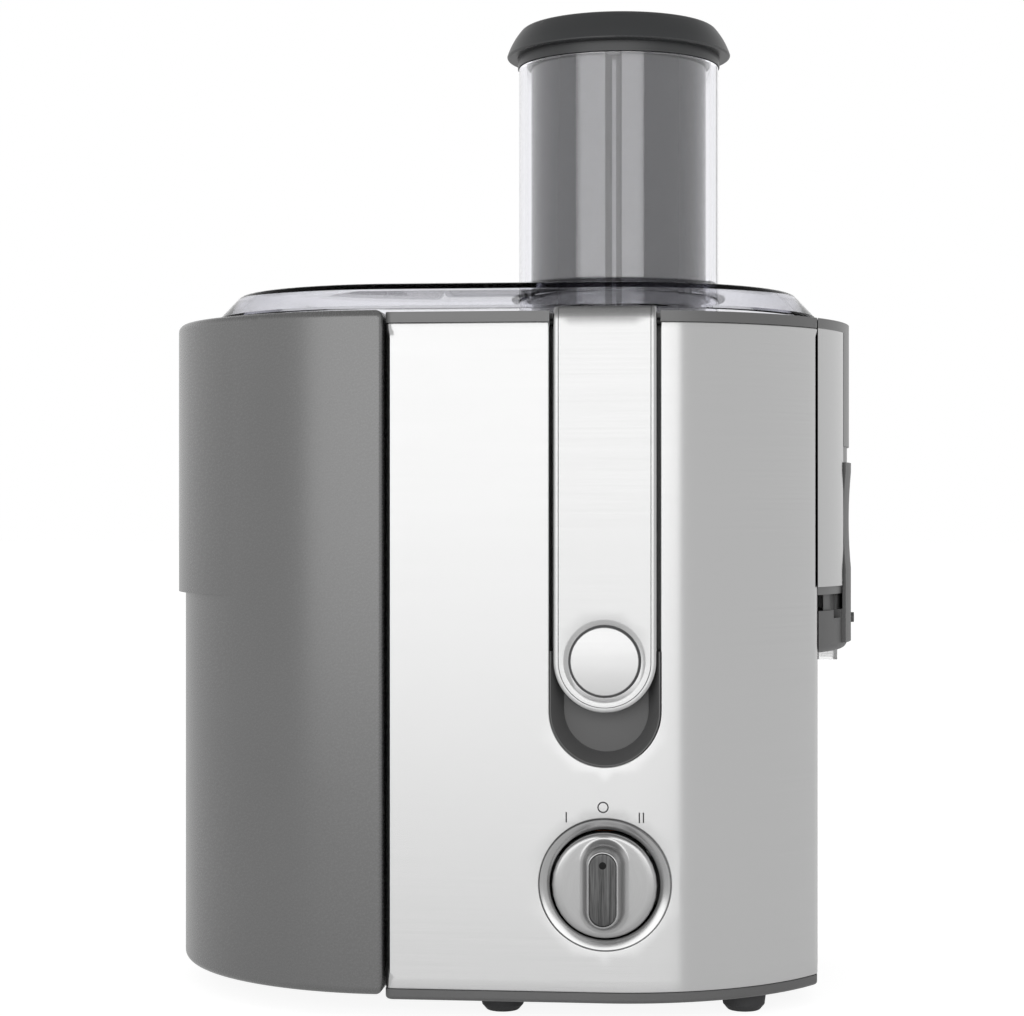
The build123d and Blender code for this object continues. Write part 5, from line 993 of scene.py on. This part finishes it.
@dataclass
class FrontPanel:
    """Brushed sheet wrapped round the front and the right-hand end."""

    body_r: float = 93.0
    left: float = -82.0
    right: float = 79.15
    corner_r: float = 3.0
    side_r: float = 0.3
    fold: float = 8.0
    thick: float = 0.8
    edge_r: float = 0.7
    channel_half: float = 20.5
    channel_z0: float = 94.5
    dial_hole_r: float = 24.3
    dial_z: float = 51.0
    edge_step: float = 2.0
    mesh_step: float = 4.0
    CHANNEL_POINTS: ClassVar[int] = 60

    def __post_init__(self) -> None:
        """Works out the lengths of the wrap's stretches."""
        low, high = LAYOUT.span("front_panel")
        self.z0, self.z1 = low.z, high.z
        turn_x = self.right - self.side_r
        turn_y = -math.sqrt((self.body_r - self.side_r) ** 2 - turn_x ** 2)
        self.turn = (turn_x, turn_y)
        self.bend_end = math.atan2(turn_y, turn_x)
        self.fold_run = self.fold - self.corner_r
        self.flat_u = self.fold_run + self.corner_r * math.pi / 2
        self.round_u = self.flat_u - self.left - self.corner_r
        self.turn_u = self.round_u + self.body_r * (self.bend_end + math.pi / 2)
        self.side_u = self.turn_u - self.side_r * self.bend_end
        self.end_u = self.side_u + self.fold

    def along(self, x: float) -> float:
        """Length along the wrap for a place x on the front."""
        if x <= 0:
            return self.round_u + x
        return self.round_u + self.body_r * math.asin(x / self.body_r)

    def bend(self, u: float, z: float, depth: float) -> Spot:
        """Place of a point of the wrap, some depth behind its face."""
        r = self.corner_r
        if u < self.fold_run:
            return (self.left + depth, -self.body_r + self.fold - u, z)
        if u < self.flat_u:
            a = math.pi + (u - self.fold_run) / r
            reach = r - depth
            return (self.left + r + reach * math.cos(a), -self.body_r + r + reach * math.sin(a), z)
        if u < self.round_u:
            return (u - self.round_u, -self.body_r + depth, z)
        if u < self.turn_u:
            a = -math.pi / 2 + (u - self.round_u) / self.body_r
            return ((self.body_r - depth) * math.cos(a), (self.body_r - depth) * math.sin(a), z)
        if u < self.side_u:
            r = self.side_r
            a = self.bend_end + (u - self.turn_u) / r
            return (self.turn[0] + (r - depth) * math.cos(a), self.turn[1] + (r - depth) * math.sin(a), z)
        return (self.right - depth, self.turn[1] + u - self.side_u, z)

    def outline(self) -> list[Flat]:
        """Edge of the sheet, with the notch for the latch channel, drawn in by the edge's radius."""
        e, step = self.edge_r, self.edge_step
        half = self.channel_half + e
        middle = self.channel_z0 + self.channel_half
        low, high = self.z0 + e, self.z1 - e
        near, far = e, self.end_u - e
        left, right = self.along(-half), self.along(half)
        loop = run((near, low), (far, low), step) + run((far, low), (far, high), self.mesh_step)
        loop += run((far, high), (right, high), step) + run((right, high), (right, middle), step)
        loop += [(self.along(x), z) for x, z in arc((0, middle), half, 0, -180, self.CHANNEL_POINTS)]
        loop += run((left, middle), (left, high), step) + run((left, high), (near, high), step)
        return loop + run((near, high), (near, low), self.mesh_step)

    def build(self) -> None:
        """Makes the panel and dresses it."""
        hole_r = self.dial_hole_r + self.edge_r
        hole = [(self.along(x), z) for x, z in arc((0, self.dial_z), hole_r, 0, -360, CIRCLE)]
        sheet = Sheet(self.outline(), [hole], self.mesh_step)
        draft = Draft()
        solid_sheet(draft, sheet, self.bend, self.thick, self.edge_r)
        adopt(draft.build("steel_front_panel", PANEL_STEEL, crease_deg=50), "base", "front_panel")


@dataclass
class FingerLatch:
    """Pressed latch lever with its rolled top and round thumb disc."""

    half: float = 19.15
    bottom: float = 114.25
    front_y: float = -94.0
    hinge_y: float = -88.0
    hinge_z: float = 259.0
    side_depth: float = 4.9
    edge_r: float = 1.5
    crease_in: float = 1.9
    crease_wide: float = 0.3
    skin: float = 1.4
    ring_r: float = 15.3
    ring_lip: float = 0.3
    disc_r: float = 12.6
    groove: float = 1.25
    disc_proud: float = 0.25
    disc_gap: float = 0.02
    mesh_step: float = 4.0
    LONG_POINTS: ClassVar[int] = 42
    ROLL_POINTS: ClassVar[int] = 16
    ACROSS_POINTS: ClassVar[int] = 12
    END_POINTS: ClassVar[int] = 72
    ROUND_STEPS: ClassVar[int] = 6

    def __post_init__(self) -> None:
        """Works out the roll and the thumb disc's middle."""
        self.roll_r = self.hinge_y - self.front_y
        self.top = self.hinge_z + self.roll_r * math.pi / 2
        self.thumb_z = self.bottom + self.half

    def bend(self, x: float, s: float, depth: float) -> Spot:
        """Place of a point of the lever: x across, s up its face and over the roll, some depth behind it."""
        if s <= self.hinge_z:
            return (x, self.front_y + depth, s)
        a = (s - self.hinge_z) / self.roll_r
        reach = self.roll_r - depth
        return (x, self.hinge_y - reach * math.cos(a), self.hinge_z + reach * math.sin(a))

    def outline(self, inset: float) -> list[Flat]:
        """Edge of the lever, drawn in by an inset at its sides and its round end."""
        half, low, hinge, top = self.half - inset, self.thumb_z, self.hinge_z, self.top
        loop = split((-half, hinge), (-half, low), self.LONG_POINTS)
        loop += arc((0, low), half, 180, 360, self.END_POINTS)
        loop += split((half, low), (half, hinge), self.LONG_POINTS)
        loop += split((half, hinge), (half, top), self.ROLL_POINTS)
        loop += split((half, top), (-half, top), self.ACROSS_POINTS)
        return loop + split((-half, top), (-half, hinge), self.ROLL_POINTS)

    def circles(self, profile: Sequence[Flat]) -> list[list[Spot]]:
        """Rings about the thumb disc's middle, along a profile of radii and depths."""
        middle = (0, self.thumb_z)
        return [[self.bend(x, s, depth) for x, s in arc(middle, r, 0, -360, CIRCLE)] for r, depth in profile]

    def build_skin(self) -> None:
        """Makes the skin, with the crease along its edge and the groove round the disc."""
        draft = Draft()
        rows = [(self.skin, self.skin), (self.skin, self.side_depth), (0.0, self.side_depth)]
        for k in range(self.ROUND_STEPS + 1):
            turn = math.pi / 2 * k / self.ROUND_STEPS
            rows.append((self.edge_r * (1 - math.cos(turn)), self.edge_r * (1 - math.sin(turn))))
        deep = self.crease_wide
        face_in = self.crease_in + deep
        rows += [(self.crease_in, 0.0), (self.crease_in + deep / 2, deep), (face_in, 0.0)]
        draft.loft([[self.bend(x, s, depth) for x, s in self.outline(inset)] for inset, depth in rows])
        hole_r = self.ring_r + self.ring_lip
        hole = arc((0, self.thumb_z), hole_r, 0, -360, CIRCLE)
        draft.plate(Sheet(self.outline(face_in), [hole], self.mesh_step), self.bend, 0.0)
        draft.plate(Sheet(self.outline(self.skin), [], self.mesh_step), self.bend, self.skin)
        floor = self.groove
        draft.loft(self.circles([
            (hole_r, 0.0), (self.ring_r, 0.06), (self.ring_r - self.ring_lip, 0.2),
            (self.disc_r + 0.5, floor - 0.05), (self.disc_r + 0.2, floor), (0.0, floor)]))
        adopt(draft.build("steel_latch_skin", LATCH_STEEL, crease_deg=40), "latch", "latch_skin")

    def build_disc(self) -> None:
        """Makes the thumb disc."""
        draft = Draft()
        r, top, back = self.disc_r, -self.disc_proud, self.groove - self.disc_gap
        draft.loft(self.circles([
            (0.0, top), (r - 0.5, top), (r - 0.2, top + 0.08), (r, top + 0.3), (r, back), (0.0, back)]))
        adopt(draft.build("steel_thumb_disc", DISC_STEEL), "latch", "thumb_disc")

    def build(self) -> None:
        """Makes the skin and the disc."""
        self.build_skin()
        self.build_disc()


@dataclass
class SwitchDial:
    """Rotary switch: dished ring, knob with its finger ridge, dark inlay, index dot and position marks."""

    body_r: float = 93.0
    dial_z: float = 51.0
    ring_r: float = 24.2
    ring_back: float = -9.0
    bore_r: float = 20.3
    knob_r: float = 19.4
    face_out: float = 2.4
    ridge_out: float = 12.5
    ridge_foot: float = 4.4
    rim_in: float = 1.6
    knob_back: float = -4.5
    inlay_half: float = 5.0
    inlay_long: float = 13.3
    dot_r: float = 1.35
    dot_up: float = 8.9
    mark_stroke: float = 0.5
    mark_tall: float = 3.8
    mark_r: float = 2.1
    mark_apart: float = 0.75
    mark_depths: Flat = (0.1, -0.04)
    off_at: Flat = (-0.6, 79.6)
    low_at: Flat = (-14.2, 75.8)
    high_at: Flat = (13.5, 75.8)
    RING_POINTS: ClassVar[int] = 128
    SIDE_POINTS: ClassVar[int] = 8
    MARK_POINTS: ClassVar[int] = 48
    DOT_POINTS: ClassVar[int] = 32

    def at(self, r: float, turn: float, out: float) -> Spot:
        """Place at a radius and turn about the dial's axis, some way out of the body's front."""
        return (r * math.cos(turn), -self.body_r - out, self.dial_z + r * math.sin(turn))

    def pill(self, half: float, long: float) -> list[Flat]:
        """Upright pill outline about the dial's middle, with its points spread alike on every size."""
        reach, side = long - half, self.SIDE_POINTS
        end = CIRCLE // 2 - side
        loop = arc((0, reach), half, 0, 180, end) + split((-half, reach), (-half, -reach), side)
        return loop + arc((0, -reach), half, 180, 360, end) + split((half, -reach), (half, reach), side)

    def ring_at(self, loop: Sequence[Flat], out: float) -> list[Spot]:
        """Ring of places for an outline about the dial's middle."""
        return [(x, -self.body_r - out, self.dial_z + z) for x, z in loop]

    def toward_round(self, half: float, long: float, radius: float, share: float) -> list[Flat]:
        """Pill outline that turns into a circle as the share goes from 0 to 1."""
        found = []
        for x, z in self.pill(half, long):
            away = math.hypot(x, z)
            found.append((x + (x / away * radius - x) * share, z + (z / away * radius - z) * share))
        return found

    def build_ring(self) -> None:
        """Makes the dished ring."""
        draft = Draft()
        r, bore, back = self.ring_r, self.bore_r, self.ring_back
        profile = [(r, back), (r, 0.15), (r - 0.08, 0.35), (r - 0.3, 0.5), (r - 0.6, 0.42),
                   (bore + 0.45, -0.6), (bore + 0.15, -0.85), (bore, -1.3), (bore, back)]
        draft.loft(lathe_rings(profile, self.at, self.RING_POINTS), closed=True)
        adopt(draft.build("dial_ring", RING_ALUMINIUM), "base", "dial_bezel")

    def build_knob(self) -> None:
        """Makes the knob with its finger ridge."""
        half, long = self.inlay_half, self.inlay_long
        top, face, edge = self.ridge_out, self.face_out, self.knob_r
        ridge = [(-1.0, top - 1.0), (0.05, top - 1.0), (0.05, top - 0.12), (0.15, top), (0.35, top),
                 (0.6, top - 0.16), (0.78, top - 0.6), (1.5, face + 4.4), (1.75, face + 3.0),
                 (2.2, face + 1.8), (2.9, face + 0.85), (3.6, face + 0.25), (4.2, face + 0.02)]
        rings = [self.ring_at(self.pill(half + more, long + more), out) for more, out in ridge]
        wide, tall, flat = half + self.ridge_foot, long + self.ridge_foot, edge - self.rim_in
        rim = [(0.0, edge, face), (0.4, flat, face), (0.75, flat, face), (1.0, flat, face - 0.02),
               (1.0, edge - 0.85, face - 0.2), (1.0, edge - 0.3, face - 0.65), (1.0, edge, face - 1.5),
               (1.0, edge, self.knob_back)]
        rings += [self.ring_at(self.toward_round(wide, tall, r, share), out) for share, r, out in rim]
        draft = Draft()
        draft.cap(draft.loft(rings)[::-1])
        adopt(draft.build("satin_knob", KNOB_ALLOY, 40), "knob", "switch_knob")

    def build_inlay(self) -> None:
        """Makes the knob's dark inlay and its index dot."""
        half, top, longer = self.inlay_half, self.ridge_out, self.inlay_long - self.inlay_half
        side = half - 0.05
        plates = [(side, top - 0.98), (side, top - 0.3), (half - 0.3, top - 0.1), (half - 1.2, top)]
        inlay = Draft()
        inlay.cap(inlay.loft([self.ring_at(self.pill(h, h + longer), out) for h, out in plates]))
        adopt(inlay.build("knob_dark_inlay", INLAY_ALUMINIUM), "knob", "knob_inlay")
        middle = (0, self.dot_up)
        spots = [(self.dot_r, top - 0.3), (self.dot_r, top + 0.02), (self.dot_r - 0.1, top + 0.05)]
        dot = Draft()
        dot.cap(dot.loft([self.ring_at(arc(middle, r, 0, 360, self.DOT_POINTS), out) for r, out in spots]))
        adopt(dot.build("knob_index_dot", DOT_PAINT), "knob")

    def build_marks(self, panel: FrontPanel) -> None:
        """Makes the printed marks for off and the two speeds."""

        def printed(middle: Flat, loop: Sequence[Flat], depth: float) -> list[Spot]:
            """Ring of places on the panel for an outline about a middle."""
            return [panel.bend(panel.along(middle[0] + x), middle[1] + z, depth) for x, z in loop]

        draft = Draft()
        sunk, proud = self.mark_depths
        inner_r = self.mark_r - self.mark_stroke
        rows = [(self.mark_r, sunk), (self.mark_r, proud), (inner_r, proud), (inner_r, sunk)]
        rings = [(arc((0, 0), r, 0, 360, self.MARK_POINTS), depth) for r, depth in rows]
        draft.loft([printed(self.off_at, loop, depth) for loop, depth in rings], closed=True)
        a, b = self.mark_stroke / 2, self.mark_tall / 2
        bar = [(-a, -b), (a, -b), (a, b), (-a, b)]
        x, z = self.high_at
        for middle in (self.low_at, (x - self.mark_apart, z), (x + self.mark_apart, z)):
            draft.cap(draft.loft([printed(middle, bar, depth) for depth in self.mark_depths]))
        adopt(draft.build("dial_marks", INK), "base")

    def build(self, panel: FrontPanel) -> None:
        """Makes the whole dial."""
        self.build_ring()
        self.build_knob()
        self.build_inlay()
        self.build_marks(panel)


@dataclass
class Studio:
    """White studio: floor, soft front light and the camera of the photograph."""

    white: str = "#FFFFFF"
    fill: float = 0.55
    floor_half: float = 12.0
    floor_tint: str = "#F2F2F2"
    floor_white: float = 0.72
    floor_gloss: float = 0.45
    floor_glow: float = 1.25
    lamp_away: float = 1.5
    lamp_azimuth_deg: float = -6.9
    lamp_half_deg: float = 39.2
    lamp_z0: float = 0.02
    lamp_z1: float = 0.85
    lamp_radiance: float = 1.72
    dim_from_deg: float = 18.0
    dim_to_deg: float = 42.0
    dim: float = 0.35
    camera_at: Spot = (53.4, -972.0, 190.0)
    camera_yaw_deg: float = 5.7
    lens_mm: float = 83.9
    sensor_mm: float = 36.0
    clip: Flat = (0.01, 100.0)

    def build_world(self) -> None:
        """Makes the white surroundings for the eye, gloss and glass, which dim overhead."""
        world = bpy.data.worlds.new("white_studio")
        bpy.context.scene.world = world
        world.use_nodes = True
        tree = world.node_tree
        tree.nodes.clear()
        path = add_node(tree, "ShaderNodeLightPath").outputs
        gloss = reckon(tree, "MAXIMUM", path["Is Camera Ray"], path["Is Glossy Ray"])
        shown = reckon(tree, "MAXIMUM", gloss, path["Is Transmission Ray"])
        look = add_node(tree, "ShaderNodeTexCoord").outputs["Generated"]
        way = add_node(tree, "ShaderNodeSeparateXYZ", {"Vector": look}).outputs
        start, end = (math.sin(math.radians(a)) for a in (self.dim_from_deg, self.dim_to_deg))
        white = add_node(tree, "ShaderNodeMapRange", {
            "Value": reckon(tree, "ABSOLUTE", way["Z"]), "From Min": start, "From Max": end,
            "To Min": 1.0, "To Max": self.dim}).outputs["Result"]
        level = add_node(tree, "ShaderNodeMix", {"Factor": shown, "A": self.fill, "B": white},
                         data_type="FLOAT")
        sky = add_node(tree, "ShaderNodeBackground", {"Color": linear(self.white),
                                                      "Strength": level.outputs["Result"]})
        out = add_node(tree, "ShaderNodeOutputWorld")
        tree.links.new(sky.outputs["Background"], out.inputs["Surface"])

    def build_floor(self) -> None:
        """Makes the pale floor, which shows white and keeps the object's shadow."""
        half = self.floor_half
        mesh = bpy.data.meshes.new("floor")
        corners = [(-half, -half, 0), (half, -half, 0), (half, half, 0), (-half, half, 0)]
        mesh.from_pydata(corners, [], [(0, 1, 2, 3)])
        material, tree, out = new_material("paper_white_sweep")
        paper = add_node(tree, "ShaderNodeBsdfDiffuse", {"Color": linear(self.floor_tint)})
        glow = add_node(tree, "ShaderNodeEmission", {"Color": linear(self.white),
                                                     "Strength": self.floor_glow})
        path = add_node(tree, "ShaderNodeLightPath").outputs
        seen = reckon(tree, "MAXIMUM", path["Is Camera Ray"], path["Is Transmission Ray"])
        straight = reckon(tree, "MULTIPLY", seen, self.floor_white)
        share = add_node(tree, "ShaderNodeMath", {0: path["Is Glossy Ray"], 1: self.floor_gloss, 2: straight},
                         operation="MULTIPLY_ADD", use_clamp=True)
        both = add_node(tree, "ShaderNodeMixShader", {"Fac": share.outputs[0], 1: paper.outputs["BSDF"],
                                                      2: glow.outputs["Emission"]})
        tree.links.new(both.outputs["Shader"], out.inputs["Surface"])
        mesh.materials.append(material)
        floor = put("floor", mesh)

    def build_lamp(self) -> None:
        """Makes the wide soft light in front, whose upright edges show in the steel and on the tube."""
        wide = 2 * self.lamp_away * math.tan(math.radians(self.lamp_half_deg))
        tall = self.lamp_z1 - self.lamp_z0
        lamp = bpy.data.lights.new("front_softbox", "AREA")
        lamp.shape = "RECTANGLE"
        lamp.size = wide
        lamp.size_y = tall
        lamp.energy = self.lamp_radiance * math.pi * wide * tall
        turn = math.radians(self.lamp_azimuth_deg)
        holder = put("front_softbox", lamp)
        middle = LAYOUT.place(0, 0, 0) + Vector((math.sin(turn), -math.cos(turn), 0)) * self.lamp_away
        holder.location = (middle.x, middle.y, (self.lamp_z0 + self.lamp_z1) / 2)
        holder.rotation_euler = (math.pi / 2, 0, turn)

    def build_camera(self) -> None:
        """Makes the photograph's camera, which looks level."""
        lens = bpy.data.cameras.new("photo_camera")
        lens.lens = self.lens_mm
        lens.sensor_width = self.sensor_mm
        lens.clip_start, lens.clip_end = self.clip
        camera = put("photo_camera", lens)
        camera.location = LAYOUT.place(*self.camera_at)
        camera.rotation_euler = (math.pi / 2, 0, math.radians(self.camera_yaw_deg))
        bpy.context.scene.camera = camera

    def build(self) -> None:
        """Makes the whole studio."""
        bpy.context.scene.view_settings.view_transform = "Standard"
        self.build_world()
        self.build_floor()
        self.build_lamp()
        self.build_camera()


def dress_nodes() -> None:
    """Gives every carried-over node its finish."""
    for finish, names in FINISH_NODES.items():
        for name in names.split():
            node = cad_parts[name]
            node.data.materials.clear()
            node.data.materials.append(finish.material())
            LOG.info("%s dressed in %s", name, finish.name)


def main() -> None:
    """Builds the studio and every piece, in order."""
    logging.basicConfig(level=logging.INFO, format="%(message)s")
    Studio().build()
    dress_nodes()
    panel = FrontPanel()
    panel.build()
    FingerLatch().build()
    SwitchDial().build(panel)
    ClearLid().build()
    PusherBody().build()
    TrayScrews().build()
    FilterCone().build()


if __name__ == "__main__":
    main()
